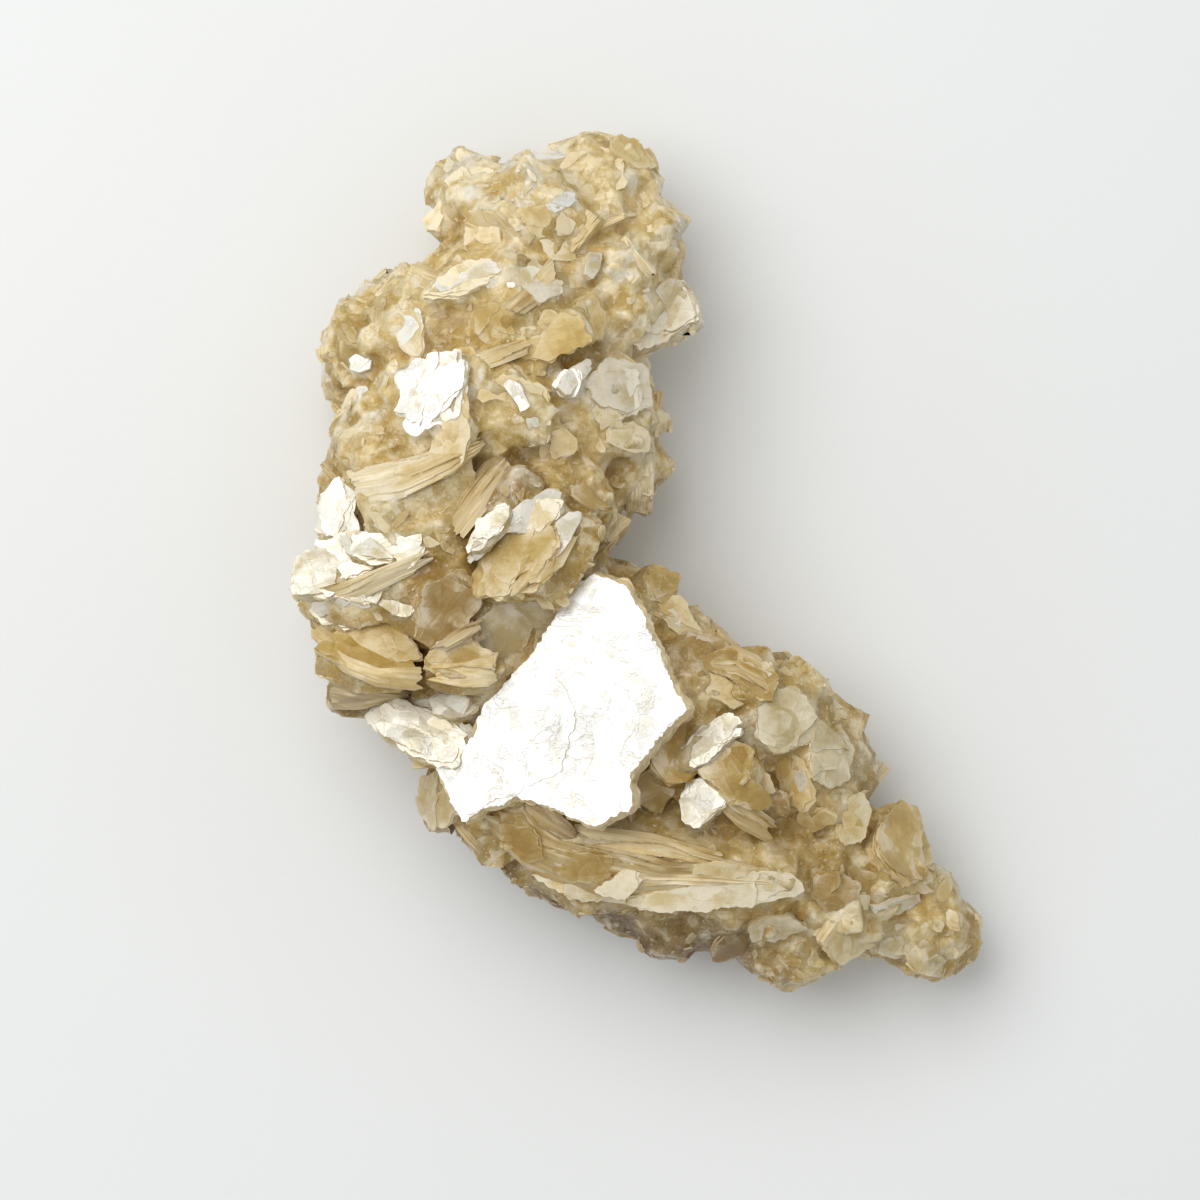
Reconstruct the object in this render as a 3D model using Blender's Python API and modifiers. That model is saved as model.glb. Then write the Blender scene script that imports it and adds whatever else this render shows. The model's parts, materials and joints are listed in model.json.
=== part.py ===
"""A cluster of intergrown mica crystals, lying on its flat broken back.

The cluster grew as one piece. Flat-faced crystals, called books because they split into
leaves, stand out of a lumpy fine-grained mass and run into each other, so the whole is one
solid. It is bent like a boomerang: a blunt head towards +Y, a broad waist at -X, and a tail
that tapers towards +X and -Y. +Z is up, and the origin is under the middle of the cluster,
on the surface that it lies on.
"""

import math
import random
from collections import namedtuple

import bmesh
import bpy
from mathutils import Matrix, Vector, noise

MM = 0.001

# Lumps of the mass: centre and half-axes in mm. They run from the head to the tail.
Lump = namedtuple("Lump", "x y z rx ry rz")
MASS = (
    Lump(-5.0, 46.0, 15.0, 7.6, 6.8, 9.5),
    Lump(0.3, 38.5, 14.0, 5.2, 7.0, 9.0),
    Lump(-12.5, 42.0, 18.0, 8.6, 8.0, 11.5),
    Lump(-20.3, 44.5, 15.0, 5.2, 4.6, 8.0),
    Lump(-3.2, 33.0, 15.0, 7.2, 9.2, 12.0),
    Lump(-15.0, 31.0, 17.0, 12.0, 11.0, 16.5),
    Lump(-25.8, 28.5, 16.5, 9.6, 8.0, 14.5),
    Lump(-34.2, 25.5, 15.0, 4.6, 6.4, 10.0),
    Lump(-20.0, 18.0, 18.0, 15.2, 12.5, 18.0),
    Lump(-6.0, 18.0, 15.0, 8.6, 10.0, 14.0),
    Lump(-2.2, 12.0, 13.0, 4.6, 6.2, 10.0),
    Lump(-30.5, 12.0, 17.5, 7.4, 9.5, 16.0),
    Lump(-12.0, 6.5, 17.5, 10.2, 9.5, 17.0),
    Lump(-25.0, -2.0, 18.5, 13.2, 12.0, 18.0),
    Lump(-33.5, -3.5, 16.5, 7.0, 9.5, 14.0),
    Lump(-29.5, -12.5, 16.0, 7.8, 7.0, 13.5),
    Lump(-18.0, -15.5, 17.0, 13.5, 13.0, 15.5),
    Lump(-6.0, -12.0, 15.5, 11.6, 11.0, 15.5),
    Lump(-15.5, -28.5, 15.5, 9.6, 9.6, 13.5),
    Lump(4.5, -18.5, 16.0, 10.2, 11.2, 14.0),
    Lump(-3.5, -33.5, 15.5, 13.5, 11.2, 12.5),
    Lump(14.5, -21.0, 15.5, 10.2, 8.6, 13.0),
    Lump(5.0, -41.0, 12.5, 10.5, 8.6, 9.5),
    Lump(12.0, -38.0, 13.5, 13.0, 10.8, 12.5),
    Lump(21.5, -27.0, 14.0, 8.2, 9.4, 11.5),
    Lump(18.8, -47.8, 11.0, 6.4, 6.2, 8.5),
    Lump(23.0, -40.5, 12.0, 8.8, 9.5, 10.5),
    Lump(29.5, -40.5, 11.0, 7.0, 9.0, 8.5),
    Lump(36.0, -46.2, 9.5, 6.2, 6.4, 7.0),
)
VOXEL = 1.7  # grain of the mesh that melts the lumps together
ROUGHNESS = 1.7  # height of the mass's own knobs and pits
ROUGH_SCALE = 0.2  # knobs per mm
MASS_FACES = 1200

# A book: centre of its outer face, the bearing of its long axis, how far its face leans from
# level and towards which bearing, and its length, width and thickness. Bearings are degrees
# from +X towards +Y, and sizes are mm.
Book = namedtuple("Book", "x y z along lean toward length width thick")
PLACED_BOOKS = (
    # Head.
    Book(-5.0, 48.0, 22.5, 10, 35, 80, 9.0, 8.0, 5.0),
    Book(-20.5, 47.0, 21.0, 15, 40, 120, 7.5, 6.0, 5.0),
    Book(-25.0, 42.8, 18.5, 60, 50, 150, 5.5, 5.0, 4.0),
    Book(-9.5, 43.5, 27.5, 25, 17, 135, 4.5, 3.2, 3.0),
    Book(1.5, 40.5, 17.5, -60, 62, 20, 9.0, 7.0, 4.0),
    Book(2.0, 30.5, 20.0, 22, 24, 125, 13.5, 8.5, 3.5),
    Book(-11.9, 33.6, 32.5, -50, 28, 60, 6.2, 4.0, 4.0),
    Book(-5.3, 36.0, 28.0, 65, 42, 0, 4.2, 2.4, 2.5),
    Book(-6.0, 28.8, 28.5, 60, 35, -20, 8.5, 6.0, 3.5),
    Book(-28.4, 28.0, 30.5, -60, 30, 160, 7.5, 4.0, 3.5),
    Book(-20.8, 34.5, 32.0, 22, 30, 105, 11.0, 4.5, 3.0),
    Book(-34.4, 24.0, 25.5, 0, 24, 140, 3.4, 2.6, 2.5),
    Book(-24.9, 20.6, 37.0, 62, 15, 140, 10.0, 8.6, 3.0),
    Book(-8.4, 21.7, 31.5, 70, 18, 130, 4.2, 3.6, 2.5),
    Book(-2.2, 21.0, 27.0, 35, 32, 15, 9.0, 8.0, 3.5),
    Book(-0.8, 14.0, 22.5, -10, 38, -30, 8.0, 6.0, 3.0),
    Book(-9.5, 13.6, 32.0, 20, 22, -60, 6.0, 4.4, 2.5),
    Book(-23.0, 13.8, 37.5, 70, 20, 170, 9.0, 5.5, 3.0),
    # Waist: leaves seen on edge, then the tilted bright books that overlap like tiles.
    Book(-28.3, 9.3, 35.5, 20, 60, 110, 17.0, 9.0, 5.0),
    Book(-26.5, 5.6, 35.5, 24, 58, 110, 12.0, 7.0, 3.0),
    Book(-19.0, 7.6, 35.0, 52, 68, 142, 13.0, 9.0, 5.0),
    Book(-30.9, 4.0, 36.5, -25, 26, -95, 5.8, 4.6, 2.5),
    Book(-31.0, 1.2, 36.5, -10, 18, 120, 10.5, 4.5, 2.5),
    Book(-37.4, 5.7, 30.0, 78, 24, 150, 9.0, 5.5, 3.5),
    Book(-35.8, -1.5, 34.0, 8, 22, 115, 13.5, 9.5, 3.5),
    Book(-31.5, -4.0, 33.5, 16, 48, 105, 15.0, 7.0, 3.5),
    Book(-36.4, -6.5, 32.0, -5, 18, 120, 8.0, 4.5, 3.0),
    Book(-28.5, -6.2, 35.8, 10, 20, 120, 4.5, 3.4, 2.0),
    Book(-33.0, -10.8, 32.5, -15, 38, 82, 15.5, 9.0, 4.5),
    Book(-33.0, -14.8, 25.0, -12, 55, 85, 11.0, 8.0, 4.5),
    Book(-21.3, -12.6, 35.5, -5, 36, 80, 10.5, 6.0, 4.0),
    Book(-24.0, -6.8, 36.5, 50, 20, -40, 10.5, 9.5, 4.0),
    Book(-15.5, -0.6, 38.0, 42, 30, 150, 14.0, 9.5, 4.5),
    Book(-11.0, 0.8, 35.5, 60, 64, 150, 13.0, 8.0, 4.5),
    Book(-18.2, 3.4, 39.5, 52, 17, 135, 9.0, 3.0, 2.5),
    Book(-12.2, 5.0, 38.0, 35, 18, 130, 7.0, 4.4, 3.0),
    Book(-7.6, 2.8, 33.5, 72, 20, 130, 6.5, 3.4, 3.0),
    Book(-14.3, -8.0, 32.5, 38, 22, -50, 16.0, 9.5, 3.0),
    Book(-22.4, -9.4, 36.0, 25, 70, 115, 6.5, 3.6, 1.8),
    Book(-26.4, -21.6, 32.0, -28, 20, 120, 15.5, 6.0, 3.5),
    Book(-22.5, -18.0, 32.0, 10, 25, 110, 7.0, 4.0, 3.0),
    Book(-24.2, -30.0, 25.5, 60, 42, 200, 9.0, 7.5, 4.5),
    # Tail.
    Book(3.3, -3.6, 23.5, -65, 30, 20, 7.0, 6.0, 3.5),
    Book(5.2, -7.6, 24.0, -50, 28, 60, 8.5, 4.5, 3.0),
    Book(8.2, -13.2, 27.0, 20, 30, 40, 10.0, 8.5, 3.5),
    Book(8.6, -23.0, 32.0, 38, 18, 130, 10.5, 4.5, 2.5),
    Book(10.0, -26.2, 29.5, 30, 40, 130, 13.0, 8.0, 3.5),
    Book(8.1, -30.4, 31.0, 20, 17, 135, 6.0, 5.4, 2.0),
    Book(12.6, -12.4, 24.5, 10, 52, 100, 10.0, 7.0, 3.5),
    Book(14.6, -15.6, 27.5, 20, 30, 90, 7.0, 5.0, 3.0),
    Book(18.4, -20.5, 27.5, 60, 26, 30, 9.0, 8.0, 3.5),
    Book(24.4, -25.0, 25.5, 75, 32, 12, 8.0, 7.0, 3.5),
    Book(15.0, -28.5, 28.5, -40, 26, -40, 6.0, 4.6, 3.0),
    Book(27.2, -33.2, 22.0, 80, 32, -18, 7.5, 5.0, 3.0),
    Book(12.8, -32.6, 28.0, 5, 50, -85, 12.0, 6.5, 3.5),
    Book(26.6, -41.0, 20.5, 30, 34, -60, 7.0, 6.0, 3.5),
    Book(33.0, -48.0, 14.0, 0, 32, -70, 8.0, 6.0, 3.5),
    Book(38.6, -48.2, 11.0, 70, 48, -25, 8.0, 6.5, 4.0),
    Book(38.4, -42.6, 12.5, 40, 40, 60, 5.0, 5.0, 4.0),
    Book(19.4, -50.6, 11.5, 80, 58, -100, 5.5, 5.0, 4.0),
    Book(17.5, -46.5, 18.0, 15, 46, -80, 9.0, 6.0, 3.5),
    Book(27.6, -24.6, 18.5, 75, 62, 26, 8.0, 7.0, 3.5),
    # The long book whose leaves show on edge below the bright face, and what is under it.
    Book(0.6, -36.6, 28.5, -15, 70, -105, 40.0, 16.0, 6.5),
    Book(-13.0, -31.0, 31.0, -38, 55, -100, 13.0, 9.0, 4.0),
    Book(2.5, -46.0, 15.5, -10, 58, -95, 11.0, 8.0, 4.0),
    Book(-16.0, -37.0, 15.0, -25, 62, -110, 11.0, 8.0, 4.0),
)

# The bright face: a broad cleavage surface with a torn outline.
BRIGHT_FACE = Book(-8.8, -18.4, 35.0, 0, 11, 155, 32.0, 30.0, 5.0)
BRIGHT_OUTLINE = (
    (-4.8, 5.6), (-10.2, 0.2), (-11.4, -4.0), (-16.2, -7.4), (-12.8, -14.2), (-10.8, -12.6),
    (-6.2, -11.2), (-1.8, -12.4), (3.8, -15.0), (8.6, -12.4), (7.8, -9.2), (11.2, -4.6),
    (15.2, -0.8), (11.2, 7.2), (7.6, 14.8), (3.6, 16.4), (0.6, 13.6),
)

# Broad cleavage faces on the underside, which the cluster rests on: x, y, bearing, length, width.
RESTING_FACES = (
    (-20.0, -6.0, 20, 30.0, 21.0),
    (-15.0, 28.0, -35, 19.0, 13.0),
    (10.0, -30.0, -30, 21.0, 13.0),
)
RESTING_THICK = 5.0
CUTTER_SIZE = 200.0

# Books that fill in between: how many, and the spread of their sizes.
GROWN_SEED = 8
GROWN_TRIES = 1500
GROWN_COUNT = 112
GROWN_LENGTH = (5.5, 12.5)
GROWN_THICK = (2.0, 4.0)
GROWN_CLEARANCE = 0.62  # least spacing of neighbours, as a share of their mean length
GROWN_RISE = 0.4
LOWEST_GROWN = 3.5
GRAIN_SIZE = 14.0  # books this near each other lean the same way
FACING_OUT = 0.72  # share of a grown book's facing that follows the mass under it

# A placed book at least LEDGE_FROM long is two leaves, the upper one broken back. One that
# stands on edge is a fan of more.
LEDGE_FROM = 9.0
FAN_FROM = 44.0  # degrees
FAN_LEAVES = 3
LEAF_SHRINK = 0.22
LEAF_SHIFT = 0.09
FAN_SPREAD = 4.0  # degrees
LEAF_OVERLAP = 0.4

COLOUR = (0.60, 0.46, 0.24, 1.0)


def clear_scene():
    for old in list(bpy.data.objects):
        bpy.data.objects.remove(old)


def direction(lean, toward):
    """The unit vector that leans by this many degrees from +Z towards this bearing."""
    lean, toward = math.radians(lean), math.radians(toward)
    return Vector((math.sin(lean) * math.cos(toward), math.sin(lean) * math.sin(toward), math.cos(lean)))


def book_frame(book):
    """Where the book's own axes lie: x along its length, z out of its face, origin on the face."""
    out = direction(book.lean, book.toward)
    bearing = math.radians(book.along)
    along = Vector((math.cos(bearing), math.sin(bearing), 0))
    along = (along - out * along.dot(out)).normalized()
    across = out.cross(along)
    return Matrix.Translation((book.x, book.y, book.z)) @ Matrix((along, across, out)).transposed().to_4x4()


def book_outline(book, rng):
    """A worn five- to eight-sided outline, centred on the book's face."""
    sides = rng.choice((5, 6, 6, 7, 8))
    turn = rng.uniform(0, math.tau)
    corners = []
    for side in range(sides):
        angle = turn + math.tau * (side + rng.uniform(-0.3, 0.3)) / sides
        reach = rng.uniform(0.82, 1.12)
        corners.append((math.cos(angle) * reach * book.length / 2, math.sin(angle) * reach * book.width / 2))
    return corners


def add_slab(bm, outline, top, bottom, frame):
    """Adds a flat prism with this anticlockwise outline, between two heights in the frame."""
    prism = bmesh.ops.create_cone(
        bm, cap_ends=True, segments=len(outline), radius1=1, radius2=1, depth=2
    )
    for side, height in ((1, top), (-1, bottom)):
        ring = [vert for vert in prism["verts"] if vert.co.z * side > 0]
        ring.sort(key=lambda vert: math.atan2(vert.co.y, vert.co.x))
        for vert, (x, y) in zip(ring, outline):
            vert.co = frame @ Vector((x, y, height))


def leaf_count(book):
    if book.length < LEDGE_FROM:
        return 1
    return FAN_LEAVES if book.lean >= FAN_FROM else 2


def add_book(bm, book, outline, leaves, rng):
    """Adds a book as leaves that are torn back and tilted a little differently from each other."""
    frame = book_frame(book)
    for leaf in range(leaves):
        shrink = rng.uniform(0, LEAF_SHRINK) if leaf else LEAF_SHRINK * (leaves > 1)
        shift_x = rng.uniform(-LEAF_SHIFT, LEAF_SHIFT) * book.length * (leaves > 1)
        shift_y = rng.uniform(-LEAF_SHIFT, LEAF_SHIFT) * book.width * (leaves > 1)
        torn = [(x * (1 - shrink) + shift_x, y * (1 - shrink) + shift_y) for x, y in outline]
        tilt = math.radians(rng.uniform(-FAN_SPREAD, FAN_SPREAD)) * (leaf > 0)
        top = -book.thick * leaf / leaves
        bottom = -book.thick * (leaf + 1) / leaves - LEAF_OVERLAP * (leaf + 1 < leaves)
        add_slab(bm, torn, top, bottom, frame @ Matrix.Rotation(tilt, 4, "X"))


def depth_in(lump, point):
    """Below 1 inside the lump, 1 on its surface."""
    offset = point - Vector((lump.x, lump.y, lump.z))
    return Vector((offset.x / lump.rx, offset.y / lump.ry, offset.z / lump.rz)).length


def grain_leaning(point):
    """The shared leaning of all books in the same grain of the cluster, as a vector."""
    cell = noise.cell_vector(point / GRAIN_SIZE)
    return (cell * 2 - Vector((1, 1, 1))).normalized()


def lean_and_bearing(vector):
    return math.degrees(math.acos(vector.z)), math.degrees(math.atan2(vector.y, vector.x))


def grown_books():
    """Books that cover the rest of the mass, each on the surface of a lump, apart from the others."""
    rng = random.Random(GROWN_SEED)
    taken = [(Vector(book[:3]), book.length) for book in (*PLACED_BOOKS, BRIGHT_FACE)]
    areas = [lump.rx * lump.ry + lump.ry * lump.rz + lump.rz * lump.rx for lump in MASS]
    books = []
    for _ in range(GROWN_TRIES):
        lump = rng.choices(MASS, areas)[0]
        outward = Vector([rng.gauss(0, 1) for _ in range(3)]).normalized()
        reach = Vector((outward.x * lump.rx, outward.y * lump.ry, outward.z * lump.rz))
        point = Vector((lump.x, lump.y, lump.z)) + reach
        length = rng.uniform(*GROWN_LENGTH)
        width = length * rng.uniform(0.62, 0.95)
        thick = rng.uniform(*GROWN_THICK)
        along = rng.uniform(0, 180)
        if len(books) == GROWN_COUNT or point.z < LOWEST_GROWN:
            continue
        if any(depth_in(other, point) < 0.93 for other in MASS if other is not lump):
            continue
        if any((place - point).length < GROWN_CLEARANCE * (length + size) / 2 for place, size in taken):
            continue
        out = Vector((outward.x / lump.rx, outward.y / lump.ry, outward.z / lump.rz)).normalized()
        facing = (out * FACING_OUT + grain_leaning(point) * (1 - FACING_OUT)).normalized()
        lean, toward = lean_and_bearing(facing)
        place = point + out * GROWN_RISE
        books.append(Book(place.x, place.y, place.z, along, lean, toward, length, width, thick))
        taken.append((point, length))
    return books


def mesh_object(name, bm, collection):
    mesh = bpy.data.meshes.new(name)
    bm.to_mesh(mesh)
    bm.free()
    made = bpy.data.objects.new(name, mesh)
    collection.objects.link(made)
    return made


def with_modifiers_applied(source, name, collection):
    """Turns an object and its modifiers into a plain mesh object, and removes the old one."""
    graph = bpy.context.evaluated_depsgraph_get()
    mesh = bpy.data.meshes.new_from_object(source.evaluated_get(graph))
    bpy.data.objects.remove(source)
    made = bpy.data.objects.new(name, mesh)
    collection.objects.link(made)
    return made


def build_mass(collection):
    """The fine-grained mass: lumps melted together, roughened, then faceted."""
    bm = bmesh.new()
    for lump in MASS:
        shape = Matrix.Diagonal((lump.rx, lump.ry, lump.rz, 1))
        place = Matrix.Translation((lump.x, lump.y, lump.z))
        bmesh.ops.create_icosphere(bm, subdivisions=3, radius=1, matrix=place @ shape)
    lumps = mesh_object("lumps", bm, collection)
    melt = lumps.modifiers.new("Melt", "REMESH")
    melt.mode = "VOXEL"
    melt.voxel_size = VOXEL
    lumps = with_modifiers_applied(lumps, "melted_lumps", collection)
    for vert in lumps.data.vertices:
        knob = noise.fractal(vert.co * ROUGH_SCALE, 1.0, 2.0, 3)
        vert.co += vert.normal * knob * ROUGHNESS
    facet = lumps.modifiers.new("Facet", "DECIMATE")
    lumps.data.calc_loop_triangles()
    facet.ratio = MASS_FACES / len(lumps.data.loop_triangles)
    return with_modifiers_applied(lumps, "mass", collection)


def build_books(collection):
    """All the books in one mesh, still running through each other."""
    bm = bmesh.new()
    for number, book in enumerate(PLACED_BOOKS):
        rng = random.Random(number)
        add_book(bm, book, book_outline(book, rng), leaf_count(book), rng)
    for number, book in enumerate(grown_books()):
        rng = random.Random(1000 + number)
        add_book(bm, book, book_outline(book, rng), 1, rng)
    add_slab(bm, BRIGHT_OUTLINE, 0, -BRIGHT_FACE.thick, book_frame(BRIGHT_FACE))
    for number, (x, y, bearing, length, width) in enumerate(RESTING_FACES):
        face = Book(x, y, RESTING_THICK, bearing, 0, 0, length, width, RESTING_THICK * 1.5)
        add_slab(bm, book_outline(face, random.Random(-1 - number)), 0, -face.thick, book_frame(face))
    return mesh_object("books", bm, collection)


def build_floor_cutter(collection):
    """A block below the resting plane, which levels the broken back."""
    bm = bmesh.new()
    bmesh.ops.create_cube(bm, size=CUTTER_SIZE, matrix=Matrix.Translation((0, 0, -CUTTER_SIZE / 2)))
    cutter = mesh_object("floor_cutter", bm, collection)
    cutter.hide_render = True
    cutter.display_type = "WIRE"
    return cutter


def add_boolean(target, name, operation, other, use_self=False):
    boolean = target.modifiers.new(name, "BOOLEAN")
    boolean.operation = operation
    boolean.solver = "EXACT"
    boolean.use_self = use_self
    boolean.object = other


def keep_outer_shell(mesh):
    """Deletes the sealed voids between crystals, and any crumb that touches nothing."""
    bm = bmesh.new()
    bm.from_mesh(mesh)
    bm.verts.index_update()
    unseen = set(bm.verts)
    islands = []
    while unseen:
        island, edge = set(), [unseen.pop()]
        while edge:
            vert = edge.pop()
            island.add(vert)
            for link in vert.link_edges:
                near = link.other_vert(vert)
                if near in unseen:
                    unseen.remove(near)
                    edge.append(near)
        islands.append(island)
    shell = max(islands, key=len)
    bmesh.ops.delete(bm, geom=[vert for vert in bm.verts if vert not in shell], context="VERTS")
    bmesh.ops.triangulate(bm, faces=bm.faces)
    bm.to_mesh(mesh)
    bm.free()


def mica_material():
    material = bpy.data.materials.new("mica")
    material.use_nodes = True
    shader = material.node_tree.nodes["Principled BSDF"]
    shader.inputs["Base Color"].default_value = COLOUR
    shader.inputs["Roughness"].default_value = 0.35
    shader.inputs["Metallic"].default_value = 0.0
    return material


def build_cluster():
    home = bpy.data.collections.new("mica_cluster")
    helpers = bpy.data.collections.new("cutters")
    for collection in (home, helpers):
        bpy.context.scene.collection.children.link(collection)
    mass = build_mass(helpers)
    books = build_books(helpers)
    cutter = build_floor_cutter(helpers)
    add_boolean(mass, "Grow together", "UNION", books, use_self=True)
    add_boolean(mass, "Level the back", "DIFFERENCE", cutter)
    cluster = with_modifiers_applied(mass, "mica_cluster", home)
    bpy.data.objects.remove(books)
    keep_outer_shell(cluster.data)
    cluster.data.transform(Matrix.Scale(MM, 4))
    cluster.data.materials.clear()
    cluster.data.materials.append(mica_material())
    bpy.data.objects.remove(cutter)


clear_scene()
build_cluster()
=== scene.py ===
"""Dresses the mica cluster: a granular mass, books of thin leaves, a broad bright cleavage face
and thousands of small flakes, on a pale floor under soft light."""

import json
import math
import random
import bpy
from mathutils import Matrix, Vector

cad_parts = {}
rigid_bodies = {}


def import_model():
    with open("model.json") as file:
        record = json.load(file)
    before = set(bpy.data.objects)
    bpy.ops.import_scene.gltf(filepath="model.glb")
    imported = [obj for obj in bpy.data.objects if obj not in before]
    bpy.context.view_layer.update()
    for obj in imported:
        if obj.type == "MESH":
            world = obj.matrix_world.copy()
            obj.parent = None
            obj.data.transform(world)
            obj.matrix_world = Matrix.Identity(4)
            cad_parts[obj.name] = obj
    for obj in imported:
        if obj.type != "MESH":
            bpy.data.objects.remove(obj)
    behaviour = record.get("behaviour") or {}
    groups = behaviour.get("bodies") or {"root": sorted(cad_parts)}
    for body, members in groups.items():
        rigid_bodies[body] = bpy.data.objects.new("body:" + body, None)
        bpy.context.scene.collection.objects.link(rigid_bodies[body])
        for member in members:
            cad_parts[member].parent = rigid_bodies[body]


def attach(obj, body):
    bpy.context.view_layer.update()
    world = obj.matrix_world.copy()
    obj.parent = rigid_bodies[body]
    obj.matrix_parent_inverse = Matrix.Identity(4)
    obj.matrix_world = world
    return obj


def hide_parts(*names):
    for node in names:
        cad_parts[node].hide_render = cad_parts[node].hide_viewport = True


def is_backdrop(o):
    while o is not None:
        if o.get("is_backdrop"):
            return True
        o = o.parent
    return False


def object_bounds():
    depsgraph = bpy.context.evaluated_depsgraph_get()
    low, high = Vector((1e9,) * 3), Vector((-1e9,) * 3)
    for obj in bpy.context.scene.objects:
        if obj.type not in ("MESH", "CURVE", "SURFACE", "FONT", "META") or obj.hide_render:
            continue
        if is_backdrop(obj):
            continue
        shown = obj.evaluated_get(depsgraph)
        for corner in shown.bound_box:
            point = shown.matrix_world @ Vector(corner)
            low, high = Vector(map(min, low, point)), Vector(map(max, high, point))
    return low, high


bl_info = {
    "name": "Mica Cluster",
    "version": (1, 0, 0),
    "blender": (4, 5, 0),
    "location": "View3D > Sidebar > Mica",
    "description": "Grows the leaves, flakes and grain of a mica crystal cluster around its solid",
    "category": "Object",
}

from collections import namedtuple

import bmesh
import bpy
import numpy as np
from mathutils import Matrix, Vector, noise
from mathutils.bvhtree import BVHTree
from mathutils.geometry import delaunay_2d_cdt

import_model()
CAD_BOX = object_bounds()

MM = 0.001
NODE = "mica_cluster"
BODY = "root"

# Lumps of the mass: centre and half-axes in mm, from the head to the tail.
Lump = namedtuple("Lump", "x y z rx ry rz")
MASS = (
    Lump(-5.0, 46.0, 15.0, 7.6, 6.8, 9.5),
    Lump(0.3, 38.5, 14.0, 5.2, 7.0, 9.0),
    Lump(-12.5, 42.0, 18.0, 8.6, 8.0, 11.5),
    Lump(-20.3, 44.5, 15.0, 5.2, 4.6, 8.0),
    Lump(-3.2, 33.0, 15.0, 7.2, 9.2, 12.0),
    Lump(-15.0, 31.0, 17.0, 12.0, 11.0, 16.5),
    Lump(-25.8, 28.5, 16.5, 9.6, 8.0, 14.5),
    Lump(-34.2, 25.5, 15.0, 4.6, 6.4, 10.0),
    Lump(-20.0, 18.0, 18.0, 15.2, 12.5, 18.0),
    Lump(-6.0, 18.0, 15.0, 8.6, 10.0, 14.0),
    Lump(-2.2, 12.0, 13.0, 4.6, 6.2, 10.0),
    Lump(-30.5, 12.0, 17.5, 7.4, 9.5, 16.0),
    Lump(-12.0, 6.5, 17.5, 10.2, 9.5, 17.0),
    Lump(-25.0, -2.0, 18.5, 13.2, 12.0, 18.0),
    Lump(-33.5, -3.5, 16.5, 7.0, 9.5, 14.0),
    Lump(-29.5, -12.5, 16.0, 7.8, 7.0, 13.5),
    Lump(-18.0, -15.5, 17.0, 13.5, 13.0, 15.5),
    Lump(-6.0, -12.0, 15.5, 11.6, 11.0, 15.5),
    Lump(-15.5, -28.5, 15.5, 9.6, 9.6, 13.5),
    Lump(4.5, -18.5, 16.0, 10.2, 11.2, 14.0),
    Lump(-3.5, -33.5, 15.5, 13.5, 11.2, 12.5),
    Lump(14.5, -21.0, 15.5, 10.2, 8.6, 13.0),
    Lump(5.0, -41.0, 12.5, 10.5, 8.6, 9.5),
    Lump(12.0, -38.0, 13.5, 13.0, 10.8, 12.5),
    Lump(21.5, -27.0, 14.0, 8.2, 9.4, 11.5),
    Lump(18.8, -47.8, 11.0, 6.4, 6.2, 8.5),
    Lump(23.0, -40.5, 12.0, 8.8, 9.5, 10.5),
    Lump(29.5, -40.5, 11.0, 7.0, 9.0, 8.5),
    Lump(36.0, -46.2, 9.5, 6.2, 6.4, 7.0),
)
MASS_INSET = 0.2  # how far the bare mass lies below the lumps' surface
BARE_GRAIN = 0.9
MASS_GRAIN = 0.6
KNOB_HEIGHT, KNOBS_PER_MM = 1.5, 0.16
# The mass is itself made of small crystals that grew together: their spacing and lengths in mm.
GROWN_IN_SPACING = 2.1
GROWN_IN_LENGTH = (2.4, 7.5)
FACET_SIZE = 3.0
# The mass's relief also sets its colour: painted light on ridges, painted shade in hollows.
RELIEF_REACH = 12  # rounds of smoothing that tell ridges from hollows
RELIEF_SPAN = 0.60  # mm of relief between the palest ridge and the deepest hollow
FACET_TONES = ("gold", "cream", "cream", "gold", "honey", "pale", "cream", "grey", "gold", "pale")

# Tones: base colour, and the share of the surface that shines like silver, whose colour also turns
# near white there as a painted sheen. The white and silver tones are themselves near-white painted sheen.
TONES = {
    "white": (0.90, 0.885, 0.84, 0.95),
    "silver": (0.80, 0.765, 0.67, 0.66),
    "ivory": (0.97, 0.91, 0.79, 0.12),
    "pale": (0.82, 0.71, 0.48, 0.22),
    "cream": (0.76, 0.62, 0.35, 0.10),
    "gold": (0.63, 0.48, 0.205, 0.04),
    "honey": (0.50, 0.355, 0.115, 0),
    "tan": (0.46, 0.33, 0.14, 0.0),
    "grey": (0.70, 0.635, 0.49, 0.20),
    "brown": (0.29, 0.18, 0.07, 0.0),
}
# The tail is darker and browner than the head: where that starts and ends, and by how much. Its
# lower side, which lies in shade, is darker again with painted shade.
HEAD_LIGHT = 1.05
ZONE_START, ZONE_END, ZONE_DARK = 22.0, 4.0, (0.87, 0.82, 0.68)
UNDER_SHADE_X, UNDER_SHADE_Y, UNDER_SHADE_TOP, UNDER_SHADE_DEPTH = 21.0, -24.0, 26.0, 8.0
UNDER_SHADE_FADE_X, UNDER_SHADE_FADE_Y = 9.0, 6.0
PAINTED_UNDER_SHADE = (0.42, 0.35, 0.235)

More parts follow.
